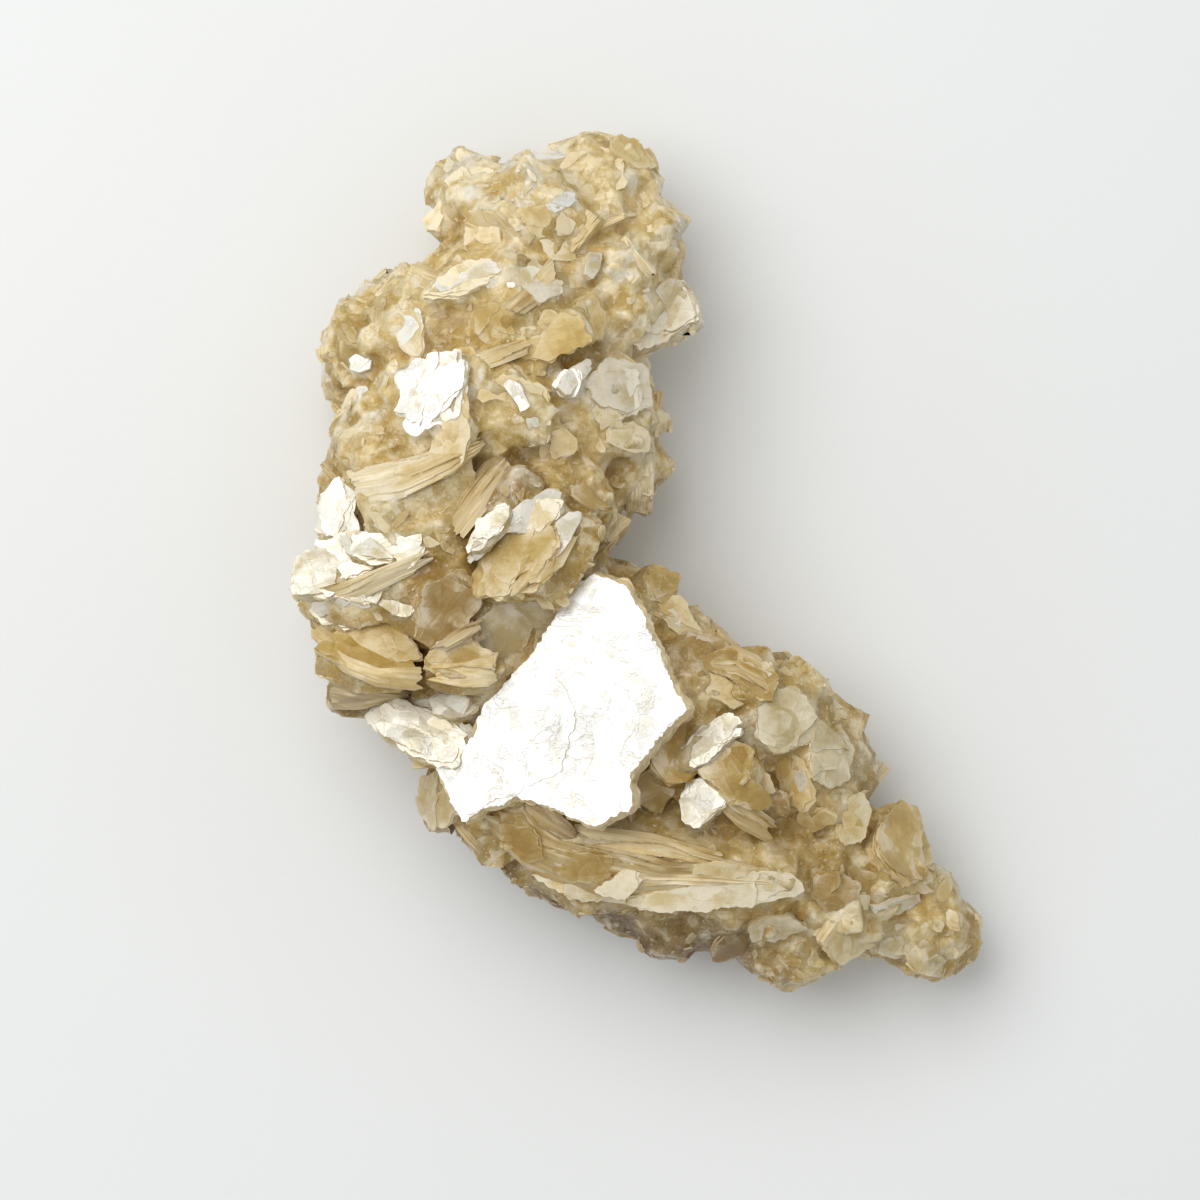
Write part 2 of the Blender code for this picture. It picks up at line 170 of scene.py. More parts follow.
# A book of leaves: the centre of its outer face, the bearing of its long axis, how far its face
# leans from level and towards which bearing, its length, width and thickness in mm, and its tone.
# Bearings are degrees from +X towards +Y.
Book = namedtuple("Book", "x y z along lean toward length width thick tone")
PLACED_BOOKS = (
    # Head.
    Book(-5.0, 48.0, 22.5, 10, 35, 80, 9.0, 8.0, 5.0, "cream"),
    Book(-20.5, 47.0, 21.0, 15, 40, 120, 7.5, 6.0, 5.0, "pale"),
    Book(-25.0, 42.8, 18.5, 60, 50, 150, 5.5, 5.0, 4.0, "pale"),
    Book(-9.5, 43.5, 27.5, 25, 17, 135, 4.5, 3.2, 3.0, "silver"),
    Book(1.5, 40.5, 17.5, -60, 62, 20, 9.0, 7.0, 4.0, "tan"),
    Book(2.0, 30.5, 20.0, 22, 24, 125, 13.5, 8.5, 3.5, "grey"),
    Book(-11.9, 33.6, 32.5, -50, 28, 60, 6.2, 4.0, 4.0, "grey"),
    Book(-5.3, 36.0, 28.0, 65, 42, 0, 4.2, 2.4, 2.5, "grey"),
    Book(-6.0, 28.8, 28.5, 60, 35, -20, 8.5, 6.0, 3.5, "gold"),
    Book(-28.4, 28.0, 30.5, -60, 30, 160, 7.5, 4.0, 3.5, "pale"),
    Book(-20.8, 34.5, 32.0, 22, 30, 105, 11.0, 4.5, 3.0, "pale"),
    Book(-34.4, 24.0, 25.5, 0, 24, 140, 3.4, 2.6, 2.5, "silver"),
    Book(-24.9, 20.6, 37.0, 62, 15, 140, 10.0, 8.6, 3.0, "silver"),
    Book(-8.4, 21.7, 31.5, 70, 18, 130, 4.2, 3.6, 2.5, "silver"),
    Book(-2.2, 21.0, 27.0, 35, 32, 15, 9.0, 8.0, 3.5, "grey"),
    Book(-0.8, 14.0, 22.5, -10, 38, -30, 8.0, 6.0, 3.0, "grey"),
    Book(-9.5, 13.6, 32.0, 20, 22, -60, 6.0, 4.4, 2.5, "cream"),
    Book(-23.0, 13.8, 37.5, 70, 20, 170, 9.0, 5.5, 3.0, "pale"),
    # Waist.
    Book(-28.3, 9.3, 35.5, 20, 60, 110, 17.0, 9.0, 5.0, "cream"),
    Book(-26.5, 5.6, 35.5, 24, 58, 110, 12.0, 7.0, 3.0, "cream"),
    Book(-19.0, 7.6, 35.0, 52, 68, 142, 13.0, 9.0, 5.0, "brown"),
    Book(-30.9, 4.0, 36.5, -25, 26, -95, 5.8, 4.6, 2.5, "pale"),
    Book(-31.0, 1.2, 36.5, -10, 18, 120, 10.5, 4.5, 2.5, "silver"),
    Book(-37.4, 5.7, 30.0, 78, 24, 150, 9.0, 5.5, 3.5, "silver"),
    Book(-35.8, -1.5, 34.0, 8, 22, 115, 13.5, 9.5, 3.5, "silver"),
    Book(-31.5, -4.0, 33.5, 16, 48, 105, 15.0, 7.0, 3.5, "cream"),
    Book(-36.4, -6.5, 32.0, -5, 18, 120, 8.0, 4.5, 3.0, "silver"),
    Book(-28.5, -6.2, 35.8, 10, 20, 120, 4.5, 3.4, 2.0, "silver"),
    Book(-33.0, -10.8, 32.5, -15, 38, 82, 15.5, 9.0, 4.5, "gold"),
    Book(-33.0, -14.8, 25.0, -12, 55, 85, 11.0, 8.0, 4.5, "brown"),
    Book(-21.3, -12.6, 35.5, -5, 36, 80, 10.5, 6.0, 4.0, "honey"),
    Book(-24.0, -6.8, 36.5, 50, 20, -40, 10.5, 9.5, 4.0, "tan"),
    Book(-15.5, -0.6, 38.0, 42, 30, 150, 14.0, 9.5, 4.5, "gold"),
    Book(-11.0, 0.8, 35.5, 60, 64, 150, 13.0, 8.0, 4.5, "honey"),
    Book(-18.2, 3.4, 39.5, 52, 17, 135, 9.0, 3.0, 2.5, "silver"),
    Book(-12.2, 5.0, 38.0, 35, 18, 130, 7.0, 4.4, 3.0, "ivory"),
    Book(-7.6, 2.8, 33.5, 72, 20, 130, 6.5, 3.4, 3.0, "cream"),
    Book(-14.3, -8.0, 32.5, 38, 22, -50, 16.0, 9.5, 3.0, "grey"),
    Book(-22.4, -9.4, 36.0, 25, 70, 115, 6.5, 3.6, 1.8, "brown"),
    Book(-26.4, -21.6, 32.0, -28, 20, 120, 15.5, 6.0, 3.5, "silver"),
    Book(-22.5, -18.0, 32.0, 10, 25, 110, 7.0, 4.0, 3.0, "silver"),
    Book(-24.2, -30.0, 25.5, 60, 42, 200, 9.0, 7.5, 4.5, "grey"),
    # Tail.
    Book(3.3, -3.6, 23.5, -65, 30, 20, 7.0, 6.0, 3.5, "gold"),
    Book(5.2, -7.6, 24.0, -50, 28, 60, 8.5, 4.5, 3.0, "pale"),
    Book(8.2, -13.2, 27.0, 20, 30, 40, 10.0, 8.5, 3.5, "tan"),
    Book(8.6, -23.0, 32.0, 38, 18, 130, 10.5, 4.5, 2.5, "silver"),
    Book(10.0, -26.2, 29.5, 30, 40, 130, 13.0, 8.0, 3.5, "honey"),
    Book(8.1, -30.4, 31.0, 20, 17, 135, 6.0, 5.4, 2.0, "silver"),
    Book(12.6, -12.4, 24.5, 10, 52, 100, 10.0, 7.0, 3.5, "honey"),
    Book(14.6, -15.6, 27.5, 20, 30, 90, 7.0, 5.0, 3.0, "gold"),
    Book(18.4, -20.5, 27.5, 60, 26, 30, 9.0, 8.0, 3.5, "grey"),
    Book(24.4, -25.0, 25.5, 75, 32, 12, 8.0, 7.0, 3.5, "grey"),
    Book(15.0, -28.5, 28.5, -40, 26, -40, 6.0, 4.6, 3.0, "pale"),
    Book(27.2, -33.2, 22.0, 80, 32, -18, 7.5, 5.0, 3.0, "pale"),
    Book(12.8, -32.6, 28.0, 5, 50, -85, 12.0, 6.5, 3.5, "brown"),
    Book(26.6, -41.0, 20.5, 30, 34, -60, 7.0, 6.0, 3.5, "gold"),
    Book(33.0, -48.0, 14.0, 0, 32, -70, 8.0, 6.0, 3.5, "grey"),
    Book(38.6, -48.2, 11.0, 70, 48, -25, 8.0, 6.5, 4.0, "pale"),
    Book(38.4, -42.6, 12.5, 40, 40, 60, 5.0, 5.0, 4.0, "cream"),
    Book(19.4, -50.6, 11.5, 80, 58, -100, 5.5, 5.0, 4.0, "tan"),
    Book(17.5, -46.5, 18.0, 15, 46, -80, 9.0, 6.0, 3.5, "grey"),
    Book(27.6, -24.6, 18.5, 75, 62, 26, 8.0, 7.0, 3.5, "tan"),
    # Under the bright face.
    Book(0.6, -36.6, 28.5, -15, 70, -105, 40.0, 16.0, 6.5, "cream"),
    Book(-13.0, -31.0, 31.0, -38, 55, -100, 13.0, 9.0, 4.0, "honey"),
    Book(2.5, -46.0, 15.5, -10, 58, -95, 11.0, 8.0, 4.0, "tan"),
    Book(-16.0, -37.0, 15.0, -25, 62, -110, 11.0, 8.0, 4.0, "brown"),
)

LONG_BOOK = next(book for book in PLACED_BOOKS if book.length == 40.0)
LONG_BOOK_SHOWN = Book(2.0, -39.0, 27.6, -8, 44, -98, 37.0, 8.5, 7.0, "cream")

# The bright face: a broad cleavage surface with a torn outline.
BRIGHT_FACE = Book(-8.8, -18.4, 35.0, 0, 11, 155, 32.0, 30.0, 5.0, "silver")
BRIGHT_OUTLINE = (
    (-4.8, 5.6), (-10.2, 0.2), (-11.4, -4.0), (-16.2, -7.4), (-12.8, -14.2), (-10.8, -12.6),
    (-6.2, -11.2), (-1.8, -12.4), (3.8, -15.0), (8.6, -12.4), (7.8, -9.2), (11.2, -4.6),
    (15.2, -0.8), (11.2, 7.2), (7.6, 14.8), (3.6, 16.4), (0.6, 13.6),
)

# painted reflection: the bright face's near-white colour stands in for the soft light that it reflects
BRIGHT_SHEEN_TONE = (0.93, 0.92, 0.88, 0.95)

# Smaller open faces: their tone, and their corners as seen from above, in mm. The white and silver
# ones are painted glints, set where faces catch the soft light.
OPEN_FACES = (
    # Head.
    ("white", (-29.9, 22), (-27.3, 24.4), (-24.7, 23.6), (-21, 24.1), (-21.3, 21), (-24.2, 17.8),
     (-26.8, 14.7), (-28.4, 15.7), (-28.1, 18.3), (-29.1, 20.4)),
    ("grey", (-15, 34.6), (-12.6, 37), (-9.2, 32.8), (-11.8, 31.2)),
    ("pale", (-12.1, 39.3), (-8.4, 39.6), (-7.1, 36.7), (-10.5, 36.7)),
    ("grey", (-6.3, 35.1), (-5.8, 37.8), (-4.2, 37.8), (-4.5, 35.7), (-5.5, 34.4)),
    ("pale", (-21.5, 42), (-20, 43.5), (-17.3, 42), (-16.8, 38.8), (-18.9, 36.2), (-21.5, 38.8)),
    ("cream", (-14.7, 42.8), (-10.5, 43.3), (-7.4, 41.4), (-8.4, 39.9), (-13.1, 39.3)),
    ("grey", (-2.1, 28.8), (0, 31.5), (4.2, 34.6), (6.3, 34.4), (7.8, 32.5), (7.4, 30.4),
     (5.2, 29.4), (3.7, 26.7), (0.5, 26)),
    ("grey", (-6.4, 21.6), (-3.8, 24.6), (1.4, 23.8), (2.2, 18.8), (-1.4, 17.8), (-5, 19.4)),
    ("pale", (-6.2, 19.6), (-2.2, 18.2), (-1.4, 15), (-4.4, 15.6)),
    ("pale", (-3.4, 15.7), (-0.5, 16.8), (1.8, 15.5), (1.6, 13.1), (-1.6, 13.1), (-3.4, 14.1)),
    ("silver", (-8.4, 23.1), (-5.8, 24.6), (-5.5, 23.1), (-7.4, 21), (-8.4, 19.9), (-9.7, 21)),
    ("silver", (-24.9, 33.6), (-23.6, 34.6), (-18.4, 36.4), (-15.8, 36.2), (-17.3, 34.9),
     (-21, 34.1), (-24.2, 32.8)),
    ("silver", (-29.7, 29.9), (-28.9, 31.2), (-26.8, 30.7), (-26.5, 28.8), (-28.9, 25.7),
     (-29.7, 27.3)),
    ("silver", (-35.7, 24.6), (-34.4, 25.3), (-33, 24.6), (-34.6, 23), (-35.4, 23.6)),
    ("silver", (-11, 43.5), (-8.9, 45.1), (-7.6, 44.9), (-7.9, 43.8), (-10, 42.5)),
    ("silver", (-15.8, 22), (-14.2, 21), (-13.1, 18.3), (-14.2, 17.8), (-16.3, 21)),
    ("cream", (-23.6, 19.7), (-21, 20.4), (-20.5, 17.8), (-22, 13.1), (-23.6, 12.6), (-23.9, 15.7)),
    ("silver", (-18.8, 33.9), (-17.6, 34.3), (-17.3, 33.5), (-18.4, 33.1)),
    ("silver", (-16.1, 33.8), (-15, 33.9), (-14.9, 33.2), (-15.9, 33.1)),
    ("silver", (-34.9, 21), (-33.4, 21.2), (-33.1, 20), (-34.4, 19.4)),
    ("silver", (-13.6, 16.9), (-12.2, 17.1), (-11.9, 15.9), (-13.2, 15.6)),
    # Waist.
    ("white", (-38.9, 7.7), (-36.6, 9.4), (-35.6, 6.9), (-33.8, 2.6), (-37.1, 2.1), (-38.4, 3.1),
     (-39.4, 5.8)),
    ("pale", (-33, 5.3), (-27.9, 5.3), (-28.6, 4.1), (-31, 2.6), (-32.8, 4.1)),
    ("white", (-29.7, 3.1), (-26.1, 4.1), (-26.4, 1.8), (-27.9, 0), (-29.4, 1.2)),
    ("silver", (-36.6, 2.6), (-33, 2.6), (-29.7, -0.3), (-33, -0.1), (-35.6, 0.4)),
    ("white", (-39.7, 1.8), (-36.6, 2.1), (-35.6, 0.4), (-31.3, -0.8), (-34, -2.3), (-38.1, -3.1),
     (-39.4, -2.3), (-38.9, -0.3)),
    ("silver", (-40.2, -5.9), (-36.6, -5.2), (-33.5, -4.7), (-33, -6.4), (-36.1, -7.2),
     (-39.1, -7.2)),
    ("silver", (-32, -5.2), (-27.4, -5.7), (-27.9, -7.4), (-29.4, -7.2), (-31.5, -5.9)),
    ("white", (-20.8, -0.8), (-19.1, 1.8), (-16.6, 4.3), (-14, 6.4), (-10.5, 8.2), (-9.4, 7.9),
     (-9.7, 4.8), (-12.5, 4.1), (-13.5, 2.8), (-15.6, 3.6), (-17.6, 2.3), (-19.1, -0.3)),
    ("white", (-9.9, 4.3), (-8.4, 5.3), (-6.6, 5.3), (-7.4, 3.3), (-8.6, 1.2), (-11, -1.1),
     (-11.3, -0.3), (-9.7, 1.8)),
    ("cream", (-20.5, -2.3), (-19.1, -0.3), (-15.6, 3.6), (-12.5, 3.6), (-13.5, 1.2), (-14.5, -2.3),
     (-16.6, -5.4), (-20.2, -4.9)),
    ("gold", (-14, 1.2), (-10.5, 3.8), (-9.7, 1.8), (-12.5, -2.3), (-15.6, -4.9), (-14.5, -2.3)),
    ("grey", (-18.6, -7.4), (-14.5, -5.9), (-10.5, -3.4), (-7.9, -4.4), (-8.4, -6.4), (-10.5, -8.5),
     (-12.5, -12.1), (-15.6, -13.4), (-17.6, -11.1)),
    ("cream", (-40.4, -9.3), (-36.6, -7.4), (-31, -7.4), (-28.4, -9.6), (-26.4, -12.6),
     (-30.4, -13.4), (-35.6, -12.1), (-38.1, -12.1)),
    ("gold", (-25.9, -12.6), (-24.3, -10.6), (-20.2, -10.6), (-17.1, -12.1), (-17.6, -14.2),
     (-21.3, -14.7), (-25.3, -13.4)),
    ("white", (-33.8, -19.5), (-32.3, -18.2), (-29.9, -17.4), (-25.3, -19.3), (-21.3, -20.8),
     (-17.6, -21.8), (-16.6, -25.4), (-20.3, -25.6), (-23.3, -25.9), (-26.4, -24.4), (-32, -21.3)),
    ("silver", (-27.9, -18.2), (-24.3, -17.2), (-21.3, -16.7), (-20.8, -18.2), (-21.8, -19.8),
     (-25.3, -19)),
    ("white", (-24.3, -25.6), (-18.6, -24.4), (-16.6, -26.9), (-17.6, -30.1), (-21.3, -32.6),
     (-22.8, -30.6), (-23.8, -27.9)),
    # Tail.
    ("silver", (2.8, -6.9), (4.5, -6.4), (6, -8.9), (5, -8.9)),
    ("honey", (1.5, -1.4), (3.5, -1.9), (4.8, -3.9), (4.3, -5.9), (2.5, -5.4)),
    ("honey", (7.5, -12.4), (12, -11.7), (16, -12.9), (17.5, -14.9), (16.5, -17.9), (14, -16.4),
     (11.5, -14.9), (8.5, -13.9)),
    ("silver", (15.5, -13.7), (16.8, -12.9), (17.3, -14.2), (16.5, -14.9)),
    ("pale", (7, -14.9), (9, -14.2), (11.5, -15.4), (14, -17.9), (12, -18.9), (10, -17.4),
     (7.5, -16.9)),
    ("grey", (15, -19.9), (17.5, -18.2), (21.5, -19.9), (23.5, -20.9), (23.5, -22.4), (19.5, -23.9),
     (16.5, -23.4), (14.8, -22.4)),
    ("grey", (22, -22.9), (25.5, -22.4), (27, -23.9), (26.5, -27.4), (24.5, -28.9), (22, -27.4)),
    ("honey", (7.5, -26.4), (12, -22.4), (14.8, -23.9), (14, -27.4), (17, -30.4), (15.5, -31.4),
     (11.5, -30.4), (10, -28.4)),
    ("silver", (4.5, -25.4), (4.8, -23.9), (7.3, -22.9), (10.5, -20.7), (13, -21.4), (12, -22.4),
     (8.5, -23.9), (5.5, -25.7)),
    ("white", (5.3, -29.7), (6.3, -27.4), (8, -27.4), (10.5, -28.9), (11, -30.4), (8.5, -31.9),
     (7.3, -33.2), (6, -32.9)),
    ("pale", (13.3, -27.9), (14, -26.9), (16, -27.9), (17.5, -29.7), (16.5, -30.4), (15, -29.4)),
    ("silver", (19.5, -27.4), (20.5, -26.2), (21.5, -27.9), (20.5, -29.4), (19.5, -28.9)),
    ("cream", (25.5, -31.9), (27.5, -31.4), (28.3, -33.4), (27.5, -35.4), (26, -34.4)),
    ("tan", (22.5, -39.9), (25.5, -39.4), (28, -40.9), (27.5, -43.9), (23.5, -44.4), (22, -42.4)),
    ("silver", (29.5, -43.9), (32.5, -42.9), (35.5, -42.4), (36, -43.4), (33, -44.9), (30, -44.7)),
    ("grey", (14, -46.4), (15.5, -45.4), (19, -44.9), (21.5, -46.4), (17.5, -48.2), (14.5, -47.9)),
    ("grey", (30.5, -48.4), (32.5, -47.4), (35, -48.4), (34.5, -49.9), (31.5, -50.2)),
    ("pale", (37.5, -40.4), (39, -39.9), (40, -41.4), (39, -43.9), (37.8, -42.9)),
)
STEEPEST = 0.85  # rise per mm of the steepest open face or sheaf
STEEPEST_WHITE = 0.42  # the same for the faces that shine

# The torn leaves that lie on the long book.
LONG_BOOK_LEAVES = (
    ("honey", (-17.2, -31.6), (-14.2, -32.2), (-12.4, -35), (-11.2, -37.8), (-13.6, -37.9),
     (-16.4, -34.8)),
    ("honey", (-10.6, -36.6), (-6.5, -36.7), (-2.5, -37.5), (-0.5, -38.3), (-3.5, -39.7),
     (-7, -40.4), (-10.4, -39.4)),
    ("ivory", (-13.2, -39.6), (-9, -40.6), (-4, -41.3), (-2.2, -42.6), (-6.6, -42.9), (-11.4, -41)),
    ("ivory", (-1.4, -43.3), (-1, -42.4), (3, -41.5), (6.2, -41.2), (7.6, -40.2), (11.5, -39.5),
     (16, -39), (19, -39.6), (20.7, -41.3), (19.6, -42.2), (15.6, -43.2), (9.3, -43.8),
     (2.9, -44.1)),
    ("ivory", (-5.2, -41.6), (-2.6, -39.8), (-0.6, -38.1), (2.4, -37.5), (3.4, -38.8), (0.6, -40.6),
     (-1.4, -42.6)),
    ("pale", (3, -37.6), (8, -38), (13, -38.2), (16.6, -39.2), (11, -39.6), (6, -39.4)),
)

# Sheaves, books whose leaves show as lines from end to end: the tones of their two ends, how much
# of them is broken edge, their crown's height, and their two long sides as seen from above, in mm.
SHEAVES = (
    # The long book: the slab behind, the main blade, the golden fan on the left and the white leaf.
    ("cream", "gold", 0.7, 0.5, ((-8, -33), (1.9, -34.2), (6, -35.4), (11.2, -36.8)),
     ((-6, -37.4), (1.9, -38.4), (6, -39), (11.2, -39.4))),
    ("honey", "ivory", 0.25, 1.3,
     ((-12.4, -35.6), (-7.1, -35.5), (-0.8, -36.4), (5, -37.8), (11.4, -37.9), (15.6, -38.8),
      (20.6, -40.6)),
     ((-14.2, -38.8), (-11.9, -40.5), (-6.6, -42.6), (-1.9, -43.2), (7.1, -43.6), (15.6, -43.1),
      (20.8, -41.9))),
    ("honey", "honey", 0.25, 1.1,
     ((-18.4, -30.6), (-14, -30.8), (-11.6, -33.8), (-9.2, -35.2), (-2.4, -36.9), (-0.6, -38.4)),
     ((-19.2, -33.2), (-17, -35.8), (-14, -38.5), (-9.7, -40), (-5, -40.3), (-0.6, -38.8))),
    ("honey", "brown", 0.9, 0.4, ((-14.8, -29.8), (-11.4, -30.1), (-8.1, -33), (-7, -34.6)),
     ((-14.2, -31.2), (-11.9, -34.5), (-9, -35.6), (-7.4, -35.4))),
    # Waist.
    ("ivory", "cream", 0.45, 0.9,
     ((-36.9, 10.4), (-32, 11.3), (-27.4, 12.3), (-22.7, 14), (-18.6, 14.9)),
     ((-33.6, 5.9), (-31, 6.4), (-28.4, 7.2), (-22.7, 10), (-18.6, 13.4))),
    ("honey", "tan", 0.8, 0.5, ((-23.9, 4.3), (-21.4, 8.4), (-18.8, 11.6), (-16.4, 12.9)),
     ((-21.5, 1.9), (-18.4, 5.6), (-16.2, 8.8), (-14.9, 11.7))),
    ("gold", "honey", 0.7, 0.4, ((-15, -3), (-12.8, 1), (-10.2, 4.2)),
     ((-12.3, -4.2), (-9, -1.2), (-6.9, 3))),
    ("pale", "ivory", 0.5, 0.4, ((-41.3, -4.5), (-35.6, -3), (-30.4, -1), (-25, 1)),
     ((-41, -6.5), (-36.6, -5.9), (-33, -4.9), (-25, -1))),
    ("pale", "cream", 0.35, 0.5, ((-40.3, -9.6), (-35.6, -12.3), (-31.5, -13.8), (-26, -13.6)),
     ((-40, -11.4), (-36.1, -14.3), (-32, -16.1), (-25, -16.8))),
    ("cream", "pale", 0.3, 0.5, ((-26.5, -12.9), (-21.7, -11.3), (-16.7, -12)),
     ((-25.9, -15.2), (-21.2, -16.2), (-17.2, -16))),
    ("brown", "tan", 0.9, 0.3, ((-25.5, -11.5), (-22.7, -9.3), (-19, -7.7)),
     ((-24.8, -12.4), (-21.1, -10.4), (-18.7, -8.7))),
    ("brown", "brown", 0.9, 0.4, ((-38.3, -14.1), (-33, -15.9), (-26.3, -17)),
     ((-38.3, -19), (-34, -19), (-29.5, -17.9))),
    # Head and tail.
    ("tan", "cream", 0.7, 0.5, ((-16.5, 30.6), (-13.6, 33.4), (-10.6, 37)),
     ((-14.4, 29.4), (-11.4, 31.6), (-8.6, 34))),
    ("cream", "pale", 0.5, 0.4, ((-20.6, 24.6), (-17, 26), (-12.6, 27.2)),
     ((-20, 22.4), (-16.6, 23.6), (-12.4, 25.4))),
    ("honey", "gold", 0.6, 0.5, ((7.2, -26), (12.5, -29.2), (17.8, -33.2)),
     ((8.4, -29.2), (12.6, -33.6), (17, -36))),
    ("gold", "honey", 0.6, 0.5, ((8.2, -11.6), (12.4, -11), (17.2, -13.2)),
     ((8.6, -14.2), (12.4, -14.6), (16.6, -16.8))),
)

# Level cleavage faces on the underside: x, y, bearing, length, width.
RESTING_FACES = (
    (-20.0, -6.0, 20, 30.0, 21.0),
    (-15.0, 28.0, -35, 19.0, 13.0),
    (10.0, -30.0, -30, 21.0, 13.0),
)
RESTING_THICK = 5.0

# Books that fill in between: two beside the bright face, and the rest grown.
FILLING_BOOKS = (
    Book(5.6, -22.6, 30.6, 62, 26, 25, 14.0, 9.0, 6.0, "honey"),
    Book(2.6, -28.4, 29.6, 20, 30, -60, 9.0, 7.0, 5.0, "tan"),
)
GROWN_SEED = 8
GROWN_TRIES = 1500
GROWN_COUNT = 112
GROWN_LENGTH = (5.5, 12.5)
GROWN_THICK = (2.0, 4.0)
GROWN_CLEARANCE = 0.62
GROWN_RISE = 0.4
LOWEST_GROWN = 3.5
GRAIN_SIZE = 14.0
FACING_OUT = 0.72
GROWN_TONES = ("gold", "gold", "cream", "cream", "pale", "honey", "gold", "grey", "silver")

FAN_FROM = 44.0
STRIPED_FROM = 10.0  # books on edge at least this long show their leaves in their sides
STRIPED_BELOW = 16.0  # the same books on the head, above this y, are one with the mass


class MicaLeaves(bpy.types.PropertyGroup):
    thickness: bpy.props.FloatProperty(
        name="Leaf thickness",
        description="Mean thickness of the leaves that show in a book's side",
        default=0.19 * MM, min=0.05 * MM, unit="LENGTH",
    )
    ragged: bpy.props.FloatProperty(
        name="Ragged edge", description="How far a leaf's torn edge wanders",
        default=0.6 * MM, min=0, unit="LENGTH",
    )
    step: bpy.props.FloatProperty(
        name="Edge step", description="Spacing of the points along a torn edge",
        default=0.6 * MM, min=0.2 * MM, unit="LENGTH",
    )
    buckle: bpy.props.FloatProperty(
        name="Buckle", description="Height of the gentle waves in a leaf",
        default=0.22 * MM, min=0, unit="LENGTH",
    )
    fan: bpy.props.FloatProperty(
        name="Fan", description="How much thicker a book on edge is at one end, as a share",
        default=0.45, min=0, max=0.9,
    )


class MicaFlakes(bpy.types.PropertyGroup):
    spacing: bpy.props.FloatProperty(
        name="Flake spacing", description="Least distance between small flakes",
        default=1.75 * MM, min=0.5 * MM, unit="LENGTH",
    )
    smallest: bpy.props.FloatProperty(
        name="Smallest flake", description="Length of the smallest flakes",
        default=0.9 * MM, min=0.2 * MM, unit="LENGTH",
    )
    largest: bpy.props.FloatProperty(
        name="Largest flake", description="Length of the largest flakes",
        default=3.4 * MM, min=0.5 * MM, unit="LENGTH",
    )
    clearance: bpy.props.FloatProperty(
        name="Clearance", description="How far flakes keep from the books",
        default=0.9 * MM, min=0, unit="LENGTH",
    )


class MicaFinish(bpy.types.PropertyGroup):
    edge_colour: bpy.props.FloatVectorProperty(
        name="Broken edge", description="Colour of the leaves' broken edges",
        subtype="COLOR", size=4,
        default=(0.84, 0.73, 0.50, 1), min=0, max=1,
    )
    glow: bpy.props.FloatProperty(
        name="Glow", description="How much light spreads inside the leaves",
        default=0.8, min=0, max=1,
    )


class MicaStage(bpy.types.PropertyGroup):
    camera_height: bpy.props.FloatProperty(
        name="Camera height", description="Height of the camera above the floor",
        default=1.0, min=0.2, unit="LENGTH",
    )
    light_lean: bpy.props.FloatProperty(
        name="Light lean", description="Angle of the soft light from straight above",
        default=math.radians(31), subtype="ANGLE",
    )
    light_bearing: bpy.props.FloatProperty(
        name="Light bearing", description="Bearing that the soft light comes from",
        default=math.radians(135), subtype="ANGLE",
    )
    light_power: bpy.props.FloatProperty(
        name="Light power", description="Power of the soft light", default=3.8, min=0, unit="POWER",
    )
    sky: bpy.props.FloatProperty(
        name="Sky", description="Strength of the even white light from all around",
        default=0.55, min=0,
    )


# --- Shapes of books -----------------------------------------------------------------------------


def clamp(value, low=0.0, high=1.0):
    return min(high, max(low, value))


def between(a, b, share):
    """The point, or the tint, that is a share of the way from one to another."""
    return tuple(p + (q - p) * share for p, q in zip(a, b))


def direction(lean, toward):
    lean, toward = math.radians(lean), math.radians(toward)
    side = math.sin(lean)
    return Vector((side * math.cos(toward), side * math.sin(toward), math.cos(lean)))


def book_frame(book):
    """Where the book's own axes lie: x along its length, z out of its face, origin on the face."""
    out = direction(book.lean, book.toward)
    bearing = math.radians(book.along)
    along = Vector((math.cos(bearing), math.sin(bearing), 0))
    along = (along - out * along.dot(out)).normalized()
    across = out.cross(along)
    turn = Matrix((along, across, out)).transposed().to_4x4()
    return Matrix.Translation((book.x, book.y, book.z)) @ turn


def placed_at(place):
    return lambda x, y, z: place @ Vector((x, y, z))


def book_outline(book, rng):
    """A worn five- to eight-sided outline, centred on the book's face."""
    sides = rng.choice((5, 6, 6, 7, 8))
    turn = rng.uniform(0, math.tau)
    corners = []
    for side in range(sides):
        angle = turn + math.tau * (side + rng.uniform(-0.3, 0.3)) / sides
        reach = rng.uniform(0.82, 1.12)
        x, y = math.cos(angle) * reach, math.sin(angle) * reach
        corners.append((x * book.length / 2, y * book.width / 2))
    return corners


def depth_in(lump, point):
    offset = point - Vector((lump.x, lump.y, lump.z))
    return Vector((offset.x / lump.rx, offset.y / lump.ry, offset.z / lump.rz)).length


def grain_leaning(point):
    """The shared leaning of all books in the same grain of the cluster, as a vector."""
    cell = noise.cell_vector(point / GRAIN_SIZE)
    return (cell * 2 - Vector((1, 1, 1))).normalized()


